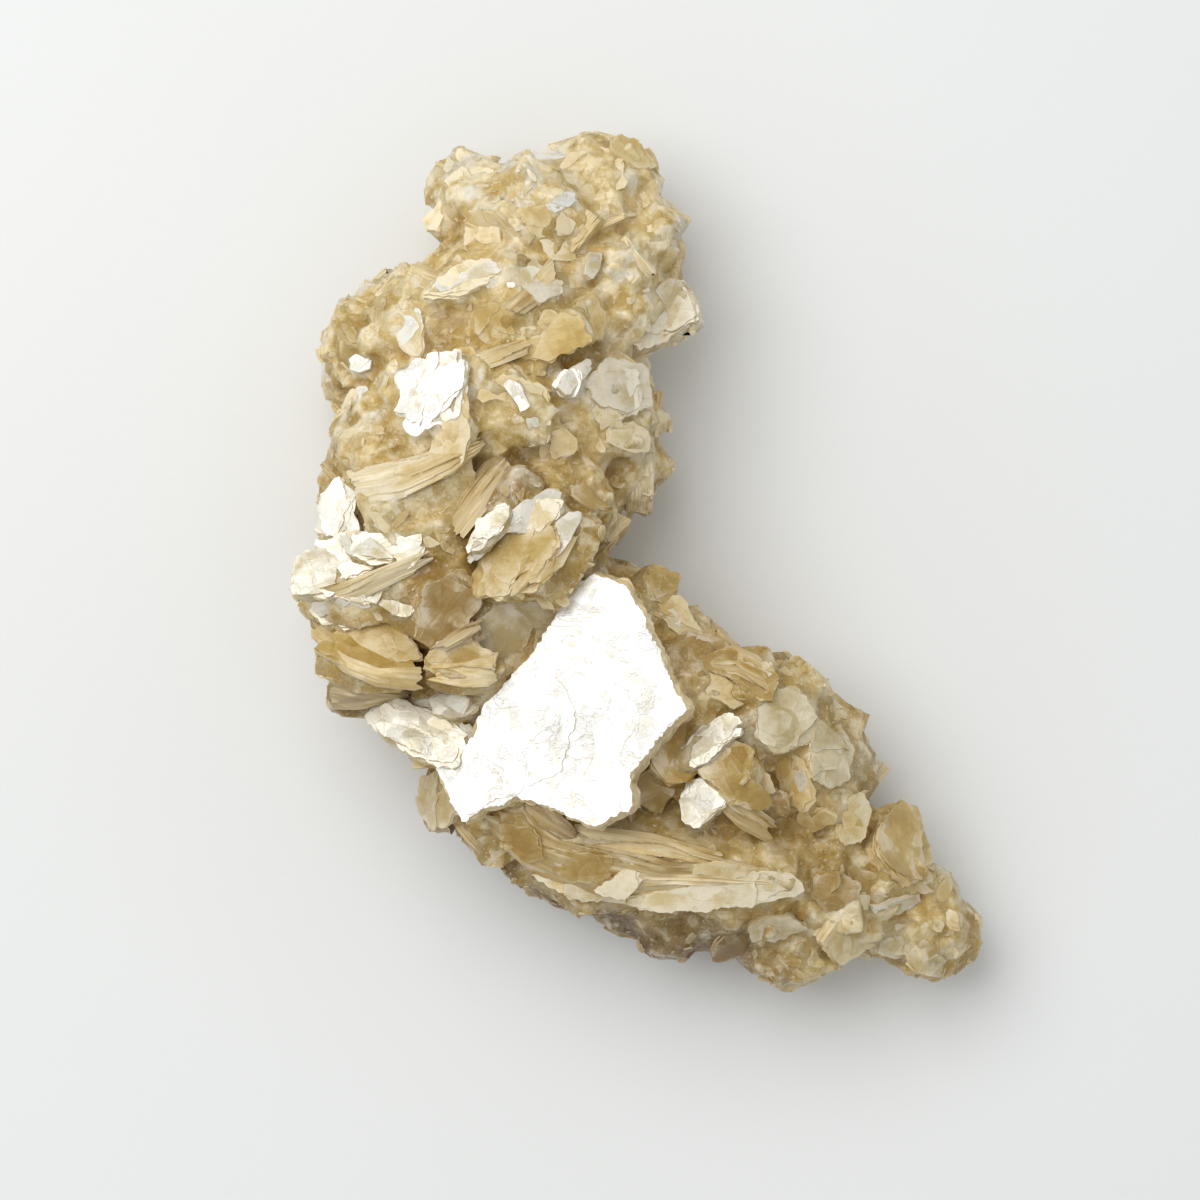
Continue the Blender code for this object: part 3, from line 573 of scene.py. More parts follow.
def grown_books():
    """Books that cover the rest of the mass, each on a lump's surface, apart from the others."""
    rng = random.Random(GROWN_SEED)
    tones = random.Random(GROWN_SEED)
    taken = [(Vector(book[:3]), book.length) for book in (*PLACED_BOOKS, BRIGHT_FACE)]
    areas = [lump.rx * lump.ry + lump.ry * lump.rz + lump.rz * lump.rx for lump in MASS]
    books = []
    for _ in range(GROWN_TRIES):
        lump = rng.choices(MASS, areas)[0]
        outward = Vector([rng.gauss(0, 1) for _ in range(3)]).normalized()
        reach = Vector((outward.x * lump.rx, outward.y * lump.ry, outward.z * lump.rz))
        point = Vector((lump.x, lump.y, lump.z)) + reach
        length = rng.uniform(*GROWN_LENGTH)
        width = length * rng.uniform(0.62, 0.95)
        thick = rng.uniform(*GROWN_THICK)
        along = rng.uniform(0, 180)
        if len(books) == GROWN_COUNT or point.z < LOWEST_GROWN:
            continue
        if any(depth_in(other, point) < 0.93 for other in MASS if other is not lump):
            continue
        if any((place - point).length < GROWN_CLEARANCE * (length + size) / 2
               for place, size in taken):
            continue
        out = Vector((outward.x / lump.rx, outward.y / lump.ry, outward.z / lump.rz)).normalized()
        facing = (out * FACING_OUT + grain_leaning(point) * (1 - FACING_OUT)).normalized()
        lean = math.degrees(math.acos(facing.z))
        toward = math.degrees(math.atan2(facing.y, facing.x))
        place = point + out * GROWN_RISE
        tone = tones.choice(GROWN_TONES)
        books.append(Book(*place, along, lean, toward, length, width, thick, tone))
        taken.append((point, length))
    return books


# --- Leaves --------------------------------------------------------------------------------------


def zoned(tint, x, y, z):
    """A tint at a place in mm: darker from the waist on, as it grew, and darkened below that with
    painted shade where it lies low.
    """
    share = clamp((ZONE_START - y) / (ZONE_START - ZONE_END))
    # painted shade: the low side under the tail's long book lies in shade, so its tint is darkened
    under_shade = clamp((UNDER_SHADE_Y - y) / UNDER_SHADE_FADE_Y) * clamp((UNDER_SHADE_TOP - z) / UNDER_SHADE_DEPTH)
    under_shade *= clamp((UNDER_SHADE_X - x) / UNDER_SHADE_FADE_X)
    parts = [
        part * (HEAD_LIGHT + share * (zone - HEAD_LIGHT)) * (1 - under_shade + under_shade * dark)
        for part, zone, dark in zip(tint, ZONE_DARK, PAINTED_UNDER_SHADE)
    ]
    return (*(min(0.95, part) for part in parts), tint[3])


class Pile:
    """Collects crystals, as closed shells, into one mesh. Each face has a tint and an edge mark,
    and each point its place in its own crystal, in mm, and how near it is to that one's rim."""

    def __init__(self):
        self.points, self.grown, self.rims = [], [], []
        self.faces, self.tints, self.edge_marks = [], [], []

    def add_points(self, spots, fit, rim, offset):
        start = len(self.points)
        for spot in spots:
            self.points.append(fit(*spot))
            self.grown.append((spot[0] + offset, spot[1], spot[2]))
            self.rims.append(rim)
        return list(range(start, len(self.points)))

    def add_faces(self, faces, tint, edge):
        self.faces += faces
        self.tints += [tint] * len(faces)
        self.edge_marks += [edge] * len(faces)

    def add_stack(self, rings, fit, tints, offset, caps=((0.86, 0.55), (0.5, 0.1))):
        """Adds a closed stack: rings of points from top to bottom, and a crowned cap on top."""
        count = len(rings[0])
        top = rings[0]
        middle = [sum(spot[axis] for spot in top) / count for axis in range(3)]
        outer = self.add_points(top, fit, 1.0, offset)
        above = outer
        for share, rim in caps:
            inner_spots = [[m + (v - m) * share for v, m in zip(spot, middle)] for spot in top]
            inner = self.add_points(inner_spots, fit, rim, offset)
            self.add_faces(band(inner, above), tints[0], 0.0)
            above = inner
        (peak,) = self.add_points([middle], fit, 0.0, offset)
        self.add_faces([(peak, a, b) for a, b in zip(above, above[1:] + above[:1])], tints[0], 0.0)
        above = outer
        for ring, tint in zip(rings[1:], tints[1:]):
            below = self.add_points(ring, fit, 1.0, offset)
            self.add_faces(band(above, below), tint, 1.0)
            above = below
        self.add_faces([tuple(reversed(above))], tints[-1], 0.0)

    def add_sheet(self, outline, top, bottom, fit, tint, spacing, rim_width):
        """Adds a broad closed leaf with many points inside its outline."""
        flat, triangles = fill_outline(outline, spacing)
        count = len(flat)
        rims = [max(0.0, 1 - gap_to(outline, x, y) / rim_width) for x, y in flat]
        start = len(self.points)
        for height in (top, bottom):
            self.points += [fit(x, y, height) for x, y in flat]
            self.grown += [(x, y, height) for x, y in flat]
            self.rims += rims
        edges = set()
        for a, b, c in triangles:
            self.add_faces([(start + a, start + b, start + c)], tint, 0.0)
            self.add_faces([(start + count + c, start + count + b, start + count + a)], tint, 0.0)
            for edge in ((a, b), (b, c), (c, a)):
                if edge[::-1] in edges:
                    edges.remove(edge[::-1])
                else:
                    edges.add(edge)
        for a, b in sorted(edges):
            side = (start + b, start + a, start + count + a, start + count + b)
            self.add_faces([side], tint, 1.0)

    def to_mesh(self, name, material, scale):
        mesh = bpy.data.meshes.new(name)
        mesh.from_pydata([point * scale for point in self.points], [], self.faces)
        tints = [part for tint in self.tints for part in tint]
        grown = [part for spot in self.grown for part in spot]
        for label, kind, domain, key, values in (
            ("tint", "FLOAT_COLOR", "FACE", "color", tints),
            ("edge", "FLOAT", "FACE", "value", self.edge_marks),
            ("rim", "FLOAT", "POINT", "value", self.rims),
            ("grown", "FLOAT_VECTOR", "POINT", "vector", grown),
        ):
            mesh.attributes.new(label, kind, domain).data.foreach_set(key, values)
        mesh.shade_smooth()
        mesh.set_sharp_from_angle(angle=math.radians(35))
        mesh.materials.append(material)
        return mesh

    def to_object(self, name, material):
        for point in self.points:
            point.z = max(point.z, 0) if point.z < CEILING else CEILING + 0.3 * (point.z - CEILING)
        return link(self.to_mesh(name, material, MM), name)


def band(upper, lower):
    """Faces that join two rings of the same number of points."""
    following = zip(upper, lower, lower[1:] + lower[:1], upper[1:] + upper[:1])
    return [face for face in following]


def fill_outline(outline, spacing):
    """Triangles inside an outline, with inner points a spacing apart, and all their points."""
    xs, ys = [x for x, _ in outline], [y for _, y in outline]
    inner = []
    for row in range(1, int((max(ys) - min(ys)) / spacing)):
        for column in range(1, int((max(xs) - min(xs)) / spacing)):
            x = min(xs) + (column + 0.5 * (row % 2)) * spacing
            y = min(ys) + row * spacing
            if inside(outline, x, y) and gap_to(outline, x, y) > spacing * 0.35:
                inner.append((x, y))
    points = [Vector(point) for point in (*outline, *inner)]
    filled = delaunay_2d_cdt(points, [], [list(range(len(outline)))], 1, 1e-5)
    return [tuple(point) for point in filled[0]], filled[2]


def inside(outline, x, y):
    odd = False
    for (x0, y0), (x1, y1) in zip(outline, outline[1:] + outline[:1]):
        if (y0 > y) != (y1 > y) and x < x0 + (x1 - x0) * (y - y0) / (y1 - y0):
            odd = not odd
    return odd


def gap_to(outline, x, y):
    return min(math.hypot(x0 - x, y0 - y) for x0, y0 in outline)


def evenly_round(corners, count):
    """Points evenly spaced round an outline, each with the direction that faces out there."""
    sides = list(zip(corners, corners[1:] + corners[:1]))
    lengths = [math.hypot(x1 - x0, y1 - y0) for (x0, y0), (x1, y1) in sides]
    total = sum(lengths)
    spots, side, passed = [], 0, 0.0
    for number in range(count):
        goal = total * number / count
        while passed + lengths[side] < goal:
            passed += lengths[side]
            side += 1
        (x0, y0), (x1, y1) = sides[side]
        share = (goal - passed) / lengths[side]
        out = ((y1 - y0) / lengths[side], (x0 - x1) / lengths[side])
        spots.append((x0 + (x1 - x0) * share, y0 + (y1 - y0) * share, *out))
    return spots


CEILING = 40.2  # mm above which crystals are flattened
LEAF_ROOT = 1.8  # mm that a thin leaf reaches down into its book
SHEAF_ROOT = 4.0  # mm that a sheaf's sides reach down
SHEAF_BEND, SHEAF_RISE = 13.0, 1.5  # four times the mm that its ends may lie lower or higher
SHEAF_BENT_FROM = 10.0  # mm from which a sheaf bends at all
SHEAF_COLUMN, SHEAF_LINE = 0.5, 0.14  # mm between its points, along it and across it
SHEAF_CLIMB = 0.42  # most that a sheaf rises along its length, per mm


def torn_ring(spots, depth, push, ragged, seed):
    """One ring of a crystal's broken side: pushed in or out, and torn unevenly."""
    ring = []
    for x, y, out_x, out_y in spots:
        slow = noise.noise((x * 0.28, y * 0.28, seed))
        torn = noise.noise((x * 0.9, y * 0.9, seed + depth * 0.5))
        fine = noise.noise((x * 2.3, y * 2.3, seed + depth * 2.5))
        local = 0.6 + 0.8 * noise.noise((x * 0.5, y * 0.5, seed + depth * 3.1))
        move = ragged * (0.8 * slow + 0.8 * torn + 0.55 * fine) + push * local
        sag = 0.10 * noise.noise((x * 0.45, y * 0.45, depth * 1.3 + seed)) * min(1.0, depth * 2)
        ring.append((x + out_x * move, y + out_y * move, sag - depth))
    return ring


def leaf_rings(spots, top, thick, root, drawn_in, ragged, seed):
    """The rings of a thin torn leaf: its rim above and below, and its root, drawn in under it."""
    return [
        torn_ring(spots, top, 0, ragged, seed),
        torn_ring(spots, top + thick, 0.05, ragged, seed),
        torn_ring(spots, top + thick + root, -drawn_in, ragged, seed),
    ]


def clipped(corners, through, away):
    """The part of an outline on the near side of a line, where away points to the far side."""
    kept = []
    heights = [(x - through[0]) * away[0] + (y - through[1]) * away[1] for x, y in corners]
    for index, (x1, y1) in enumerate(corners):
        x0, y0 = corners[index - 1]
        h0, h1 = heights[index - 1], heights[index]
        if (h0 > 0) != (h1 > 0):
            share = h0 / (h0 - h1)
            kept.append((x0 + (x1 - x0) * share, y0 + (y1 - y0) * share))
        if h1 <= 0:
            kept.append((x1, y1))
    return kept


def varied(tint, rng, spread=0.08):
    light = 1 + rng.uniform(-spread, spread)
    warm = rng.uniform(-spread, spread) * 0.4
    return (
        min(1, tint[0] * light),
        min(1, tint[1] * light * (1 - warm * 0.5)),
        min(1, tint[2] * light * (1 - warm)),
        clamp(tint[3] + rng.uniform(-0.1, 0.1)),
    )


def add_book(pile, book, rng, shape, leaves):
    """Adds a book's torn thin leaves, which leave steps on its face, and its striped body if it
    stands on edge."""
    place = book_frame(book)
    base = varied(zoned(TONES[book.tone], book.x, book.y, book.z), rng, 0.05)
    seed = rng.uniform(0, 900)
    size = min(1.0, book.length / 9)
    buckle = leaves.buckle / MM * size
    ragged = leaves.ragged / MM * size
    step = leaves.step / MM
    fan = rng.choice((-1, 1)) * leaves.fan * 0.5 / book.length

    def fit(x, y, z):
        slow = noise.noise((x * 0.15, y * 0.15, seed)) * buckle * 2.4
        quick = noise.noise((x * 0.5, y * 0.5, seed + 9)) * buckle * 0.5
        return place @ Vector((x, y, z * (1 + fan * x) + slow + quick))

    depth = 0.0
    for leaf in range(rng.choice((3, 4, 4, 5)) if book.length > 4 else 2):
        angle = rng.uniform(0, math.tau)
        away = (math.cos(angle), math.sin(angle))
        back = rng.uniform(-0.12, 0.42)
        grow = 1 + rng.uniform(-0.1, 0.05)
        grown = [(x * grow, y * grow) for x, y in shape]
        corners = clipped(grown, (away[0] * book.length * back, away[1] * book.width * back), away)
        thick = leaves.thickness / MM * rng.uniform(0.5, 1.2)
        if len(corners) >= 3:
            spots = evenly_round(corners, max(8, round(outline_length(corners) / step)))
            shape_of_leaf = (depth, thick, LEAF_ROOT, 0.16 * book.width)
            rings = leaf_rings(spots, *shape_of_leaf, ragged, seed + leaf)
            pile.add_stack(rings, fit, [varied(base, rng)] * 3, seed)
        depth += thick


def add_striped_body(pile, book, rng, shape, leaves):
    """Adds the body of a smaller book on edge, whose sides show its leaves as stripes."""
    place = book_frame(book)
    base = zoned(TONES[book.tone], book.x, book.y, book.z)
    seed = rng.uniform(0, 900)
    spots = evenly_round(shape, max(10, round(outline_length(shape) / (leaves.step / MM * 1.3))))
    rings, tints, depth, drift = [], [], 0.0, 0.0
    while depth < book.thick:
        rings.append(torn_ring(spots, depth, rng.gauss(0, 0.12) + drift, leaves.ragged / MM, seed))
        tints.append(varied(base, rng, 0.14))
        drift = 0.75 * drift + rng.gauss(0, 0.16)
        depth += leaves.thickness / MM * rng.uniform(0.8, 2.4)
    pile.add_stack(rings, placed_at(place), tints, seed, caps=())


ABOVE_ALL = 60.0  # height in mm that is above the whole cluster
FACE_BULGE = 0.035  # the most that an open face bends down towards its rim, per mm


def height_at(tree, x, y):
    """The height in mm of the surface at a spot, or None past its edge."""
    hit = tree.ray_cast(Vector((x, y, ABOVE_ALL)) * MM, Vector((0, 0, -1)))[0]
    return hit.z / MM if hit else None


def add_open_face(pile, tone, corners, tree, rng, leaves, cover):
    """Lays a face on the surface below it: a few torn thin leaves that follow its slope, and that
    cover a share of what pokes up there."""
    middle = [sum(axis) / len(corners) for axis in zip(*corners)]
    flat = [(x - middle[0], y - middle[1]) for x, y in corners]
    if sum(x0 * y1 - x1 * y0 for (x0, y0), (x1, y1) in zip(flat, flat[1:] + flat[:1])) < 0:
        flat.reverse()
    rows, heights = [], []
    for share in (0.0, 0.4, 0.8):
        for x, y in flat:
            height = height_at(tree, middle[0] + x * share, middle[1] + y * share)
            if height is not None:
                rows.append((x * share, y * share, 1.0, (x * x + y * y) * share * share))
                heights.append(height)
    rise_x, rise_y, level, bulge = np.linalg.lstsq(np.array(rows), np.array(heights), rcond=None)[0]
    bulge = clamp(bulge, -FACE_BULGE, 0.0)
    steepest = STEEPEST_WHITE if tone in ("white", "ivory") else STEEPEST
    steep = max(1.0, math.hypot(rise_x, rise_y) / steepest)
    rise_x, rise_y = rise_x / steep, rise_y / steep
    above = np.array(heights) - np.array(rows) @ np.array((rise_x, rise_y, level, bulge))
    level += float(np.quantile(above, cover)) + 0.08
    out = Vector((-rise_x, -rise_y, 1)).normalized()
    seed = rng.uniform(0, 900)
    size = min(1.0, outline_length(flat) / 22)
    buckle, ragged = leaves.buckle / MM * size, leaves.ragged / MM * 0.8 * size

    def fit(x, y, z):
        slow = noise.noise((x * 0.2, y * 0.2, seed)) * buckle * 2
        height = level + rise_x * x + rise_y * y + bulge * (x * x + y * y)
        return Vector((middle[0] + x, middle[1] + y, height)) + out * (z + slow)

    base = varied(zoned(TONES[tone], *middle, level), rng, 0.04)
    step = leaves.step / MM * 0.8
    depth = 0.0
    for leaf in range(1 if size < 0.4 else 3):
        shape = flat
        if leaf < 2 and size > 0.4:
            angle = rng.uniform(0, math.tau)
            away = (math.cos(angle), math.sin(angle))
            reach = outline_length(flat) / math.tau * rng.uniform(0.15, 0.7)
            shape = clipped(flat, (away[0] * reach, away[1] * reach), away)
        thick = leaves.thickness / MM * rng.uniform(0.4, 0.9)
        if len(shape) >= 3:
            spots = evenly_round(shape, max(9, round(outline_length(shape) / step)))
            rings = leaf_rings(spots, depth, thick, 1.5 * size, 0.6 * size, ragged, seed + leaf)
            pile.add_stack(rings, fit, [varied(base, rng, 0.05)] * 3, seed)
        depth += thick


def along(corners, share):
    """The point that is a share of the way along a line of corners."""
    place = share * (len(corners) - 1)
    first = min(int(place), len(corners) - 2)
    return between(corners[first], corners[first + 1], place - first)


def sheaf_bed(upper, lower, length, tree):
    """Fits a plane, bent along the sheaf, to the surface below it. Gives the height in mm at any
    point, and the middle of the sheaf."""
    middle = Vector((*along(upper, 0.5), 0)).lerp(Vector((*along(lower, 0.5), 0)), 0.5)
    axis = Vector((*along(upper, 1), 0)) - Vector((*along(upper, 0), 0))
    axis.normalize()

    def terms(x, y):
        run = ((x - middle.x) * axis.x + (y - middle.y) * axis.y) / length
        return x - middle.x, y - middle.y, 1.0, run * run * (length > SHEAF_BENT_FROM)

    rows, heights = [], []
    for column in range(12):
        ends = along(upper, column / 11), along(lower, column / 11)
        for share in (0.1, 0.35, 0.6, 0.85):
            x, y = between(*ends, share)
            height = height_at(tree, x, y)
            if height is not None:
                rows.append(terms(x, y))
                heights.append(height)
    fitted = np.linalg.lstsq(np.array(rows), np.array(heights), rcond=None)[0]
    fitted[:2] /= max(1.0, math.hypot(fitted[0], fitted[1]) / STEEPEST)
    climb = fitted[0] * axis.x + fitted[1] * axis.y
    fitted[:2] -= (climb - clamp(climb, -SHEAF_CLIMB, SHEAF_CLIMB)) * np.array(axis[:2])
    fitted[3] = clamp(fitted[3], -SHEAF_BEND, SHEAF_RISE)
    level = float(np.quantile(np.array(heights) - np.array(rows) @ fitted, 0.72))
    return lambda x, y: float(np.dot(terms(x, y), fitted)) + level, (*middle[:2], level + fitted[2])


def add_sheaf(pile, sheaf, tree, rng):
    """Lays a sheaf on the surface below it: a ridged blade, closed by a skirt that reaches down."""
    start_tone, end_tone, broken, crown, upper, lower = sheaf
    (x0, y0), (x1, y1), (x2, y2) = upper[0], upper[-1], lower[0]
    if (x1 - x0) * (y2 - y0) > (y1 - y0) * (x2 - x0):
        upper, lower = lower, upper
    length = math.dist(along(upper, 0), along(upper, 1))
    width = max(math.dist(along(upper, share), along(lower, share))
                for share in (0.1, 0.3, 0.5, 0.7, 0.9))
    bed, middle = sheaf_bed(upper, lower, length, tree)
    seed = rng.uniform(0, 900)
    columns, lines = max(8, round(length / SHEAF_COLUMN)), max(8, round(width / SHEAF_LINE))
    tones = [zoned(TONES[tone], *middle) for tone in (start_tone, end_tone)]
    start = len(pile.points)

    def uneven(u, v, along_scale, across_scale, shift=0):
        return noise.noise((u * along_scale, v * across_scale, seed + shift))

    for line in range(-1, lines + 2):
        share = clamp(line / lines)
        v = share * width
        ends = [noise.noise((v * 0.7, seed, end)) + 0.3 * noise.noise((v * 2.6, seed, end))
                for end in (2.0, 7.0)]
        ends = [max(0.0, 0.7 + 1.5 * end) / length for end in ends]
        for column in range(-1, columns + 2):
            skirt = not (0 <= line <= lines and 0 <= column <= columns)
            run = ends[0] + clamp(column / columns) * (1 - ends[0] - ends[1])
            u = run * length
            bend = 0.35 * uneven(u, v, 0.18, 0.5, 20) * min(share, 1 - share)
            at = clamp(share + bend / max(width, 1))
            x, y = between(along(upper, run), along(lower, run), at)
            ridges = 0.34 * uneven(u, v, 0.10, 0.5) + 0.10 * uneven(u, v, 0.24, 1.8)
            shingle = (v * 0.75 + 1.6 * uneven(u, v, 0.09, 0.22, 3)) % 1.0
            shingle *= max(0.0, 0.22 + 0.8 * uneven(u, v, 0.17, 0.4, 33))
            z = bed(x, y) + crown * 4 * share * (1 - share) + ridges + shingle
            z -= (0.5 * crown + 0.7) * (2 * run - 1) ** 6
            pile.points.append(Vector((x, y, z - (SHEAF_ROOT if skirt else 0))))
            pile.grown.append((u + seed, v, v))
            pile.rims.append(max(0.0, 1 - min(run, 1 - run) * length / 1.2))
    across = columns + 3
    for line in range(lines + 2):
        for column in range(columns + 2):
            a = start + line * across + column
            u, v = column / columns * length, line / lines * width
            share = clamp(3 * (column / columns - 0.33) + 1.6 * uneven(u, v, 0.12, 0.7, 40))
            light = 1 + 0.20 * uneven(u, v, 0.10, 2.6, 11) + 0.22 * uneven(u, v, 0.22, 0.5, 60)
            bruised = clamp(2.4 * uneven(u, v, 0.28, 1.5, 70) - 0.35, high=0.6)
            shade = between(*tones, share)
            lit = [min(1, part * light) for part in shade[:3]]
            tint = (*between(lit, TONES["pale"][:3], bruised), shade[3])
            mark = clamp(broken + 1.1 * uneven(u, v, 0.12, 0.7, 80))
            pile.add_faces([(a, a + 1, a + across + 1, a + across)], tint, mark)
    rim = [start + column for column in range(across)]
    rim += [start + line * across + across - 1 for line in range(1, lines + 3)]
    rim += [start + (lines + 2) * across + column for column in reversed(range(across - 1))]
    rim += [start + line * across for line in reversed(range(1, lines + 2))]
    pile.add_faces([tuple(reversed(rim))], tuple(tones[0]), 1.0)


def outline_length(corners):
    return sum(math.dist(a, b) for a, b in zip(corners, corners[1:] + corners[:1]))


def bright_fit(place):
    """Bends the bright face: slight hollows, and creases that branch in its left half."""

    def fit(x, y, z):
        slow = noise.noise((x * 0.07, y * 0.07, 3.1)) * 0.5
        crease = noise.noise((x * 0.2, y * 0.2, 7.7)) + 0.35 * noise.noise((x * 0.6, y * 0.6, 1.7))
        folds = max(0, 0.10 - abs(crease)) * 1.2 * (1.0 if x < -1 else 0.45)
        return place @ Vector((x, y, z + slow + folds))

    return fit


def torn_outline(corners, step, ragged, seed):
    spots = evenly_round(corners, round(outline_length(corners) / step))
    return [(x, y) for x, y, _ in torn_ring(spots, 0, 0, ragged, seed)]


BRIGHT_TORN = (
    ((2.2, 2.4), (-0.80, -0.60)),
    ((-3.2, -2.4), (0.9, 0.4)),
    ((2.0, -7.2), (0.3, 0.95)),
)
# A thin leaf over its lower left, whose right side is the arc-shaped crack.
BRIGHT_ARC = (
    (-4.2, 5.1), (-9.7, 0.1), (-11.2, -4.2), (-15.2, -7.5), (-12.4, -13.2), (-9.8, -12.0),
    (-5.5, -10.4), (-0.6, -8.0), (1.3, -2.2), (0.9, 0.7), (-0.7, 3.1),
)


def add_bright_face(pile, leaves):
    """The broad bright book: torn thin leaves on top that leave low steps, and whole ones below."""
    rng = random.Random(5)
    fit = bright_fit(book_frame(BRIGHT_FACE))
    # a near-white painted reflection of the soft light
    base = BRIGHT_SHEEN_TONE
    step = leaves.step / MM * 0.7
    pile.add_sheet(torn_outline(BRIGHT_ARC, step, 0.45, 8.0), 0.12, -0.5, fit, base, 0.8, 0.7)
    depth = 0.0
    for number, (through, away) in enumerate(BRIGHT_TORN):
        corners = clipped(list(BRIGHT_OUTLINE), through, away)
        outline = torn_outline(corners, step, 0.5, 10.0 + number)
        pile.add_sheet(outline, -depth, -depth - 0.6, fit, varied(base, rng, 0.02), 0.8, 0.7)
        depth += 0.07
    outline = torn_outline(list(BRIGHT_OUTLINE), step, 0.55, 4.0)
    pile.add_sheet(outline, -depth, -depth - 0.6, fit, varied(base, rng, 0.02), 0.7, 0.7)
    depth += 0.12
    spots = evenly_round(list(BRIGHT_OUTLINE), round(outline_length(BRIGHT_OUTLINE) / step))
    rings, tints, drift = [], [], 0.0
    while depth < BRIGHT_FACE.thick:
        drift = 0.7 * drift + rng.gauss(0, 0.14)
        rings.append(torn_ring(spots, depth, rng.gauss(0, 0.08) + drift, 0.55, 4.0))
        tints.append(varied(TONES["cream"], rng, 0.1))
        depth += rng.uniform(0.12, 0.3)
    pile.add_stack(rings, fit, tints, 0.0)


# --- Materials -----------------------------------------------------------------------------------


def add_node(tree, kind, inputs=(), **settings):
    """Adds a node with its settings and inputs, values or other nodes' outputs, and gives its own
    outputs."""
    node = tree.nodes.new(kind)
    for key, value in settings.items():
        setattr(node, key, value)
    for label, value in dict(inputs).items():
        if isinstance(value, bpy.types.NodeSocket):
            tree.links.new(value, node.inputs[label])
        else:
            node.inputs[label].default_value = value
    return node.outputs


def add_sockets(tree, side, sockets):
    """Adds named inputs or outputs to a tree, and gives the identifier of each by its name."""
    made = {}
    for label, kind, *default in sockets:
        socket = tree.interface.new_socket(label, in_out=side, socket_type="NodeSocket" + kind)
        if default:
            socket.default_value = default[0]
        made[label] = socket.identifier
    return made


def group_with(name, inputs, outputs):
    group = bpy.data.node_groups.new(name, "ShaderNodeTree")
    add_sockets(group, "INPUT", inputs)
    add_sockets(group, "OUTPUT", outputs)
    return group, add_node(group, "NodeGroupInput")


def new_material(name):
    material = bpy.data.materials.new(name)
    material.use_nodes = True
    tree = material.node_tree
    tree.nodes.clear()
    shader = tree.nodes.new("ShaderNodeBsdfPrincipled")
    add_node(tree, "ShaderNodeOutputMaterial", {"Surface": shader.outputs["BSDF"]})
    return material, tree, shader


def place_group(tree, group, **values):
    node = tree.nodes.new("ShaderNodeGroup")
    node.node_tree = group
    for label, value in values.items():
        node.inputs[label.replace("_", " ")].default_value = value
    return node


def math_node(tree, operation, a, b):
    return add_node(tree, "ShaderNodeMath", {0: a, 1: b}, operation=operation)[0]


def plus(tree, a, b):
    return math_node(tree, "ADD", a, b)


def minus(tree, a, b):
    return math_node(tree, "SUBTRACT", a, b)


def times(tree, a, b):
    return math_node(tree, "MULTIPLY", a, b)


def vector_node(tree, operation, *values):
    return add_node(tree, "ShaderNodeVectorMath", dict(enumerate(values)), operation=operation)


def noise_node(tree, vector, scale, detail, roughness=0.5, distortion=0.0):
    return add_node(tree, "ShaderNodeTexNoise", {
        "Vector": vector, "Scale": scale, "Detail": detail, "Roughness": roughness,
        "Distortion": distortion,
    })["Fac"]


def mix_colours(tree, factor, a, b, blend="MIX"):
    values = {"Factor": factor, "A": a, "B": b}
    return add_node(tree, "ShaderNodeMix", values, data_type="RGBA", blend_type=blend)["Result"]


def shaded(tree, colour, shade):
    return mix_colours(tree, 1.0, colour, (*shade, 1), "MULTIPLY")


def ramp(tree, value, low, high, to_low=0.0, to_high=1.0):
    """Spreads the part of a value between low and high over another range, smoothly."""
    return add_node(tree, "ShaderNodeMapRange", {
        "Value": value, "From Min": low, "From Max": high, "To Min": to_low, "To Max": to_high,
    }, interpolation_type="SMOOTHSTEP")["Result"]


def stretched(tree, vector, factors):
    return vector_node(tree, "MULTIPLY", vector, factors)[0]


def attribute(tree, name, output="Fac"):
    return add_node(tree, "ShaderNodeAttribute", attribute_name=name)[output]


def cell_tilts(group, grown, size):
    """Cells of a size per mm, each tilted its own way: a random value, and a height in mm."""
    cells = add_node(group, "ShaderNodeTexVoronoi", {"Vector": grown, "Scale": size})
    away = vector_node(group, "SUBTRACT", grown, cells["Position"])[0]
    tilt = vector_node(group, "SUBTRACT", cells["Color"], (0.5, 0.5, 0.5))[0]
    height = vector_node(group, "DOT_PRODUCT", away, tilt)["Value"]
    return add_node(group, "ShaderNodeSeparateColor", {"Color": cells["Color"]})[0], height


PAINTED_GLINT = (0.92, 0.86, 0.73, 1)  # painted glints: colour of the tiny pale specks on a face
BRUISE_AND_RIDGE_LIGHT = (0.88, 0.80, 0.62, 1)  # colour towards which bruised, paler places go, and the mass's ridges with painted light
SHEEN_WHITE = (0.95, 0.95, 0.94, 1)  # painted sheen: near-white colour towards which a shining face goes
CREASE_COLOUR = (0.58, 0.51, 0.39, 1)
# Of these, the hollow shade is painted shade; the deep shade is partly painted shade where the mass dips and partly
# its clear golden depth; the dull shade is the less shiny end of a painted sheen.
DEEP_SHADE = (0.80, 0.71, 0.49)  # shades that clear depths, hollows, broken edges and dull
PAINTED_HOLLOW_SHADE = (0.70, 0.60, 0.44)  # places give to a crystal's own tint
EDGE_SHADE = (0.78, 0.69, 0.50)
DULL_SHADE = (0.88, 0.86, 0.81)


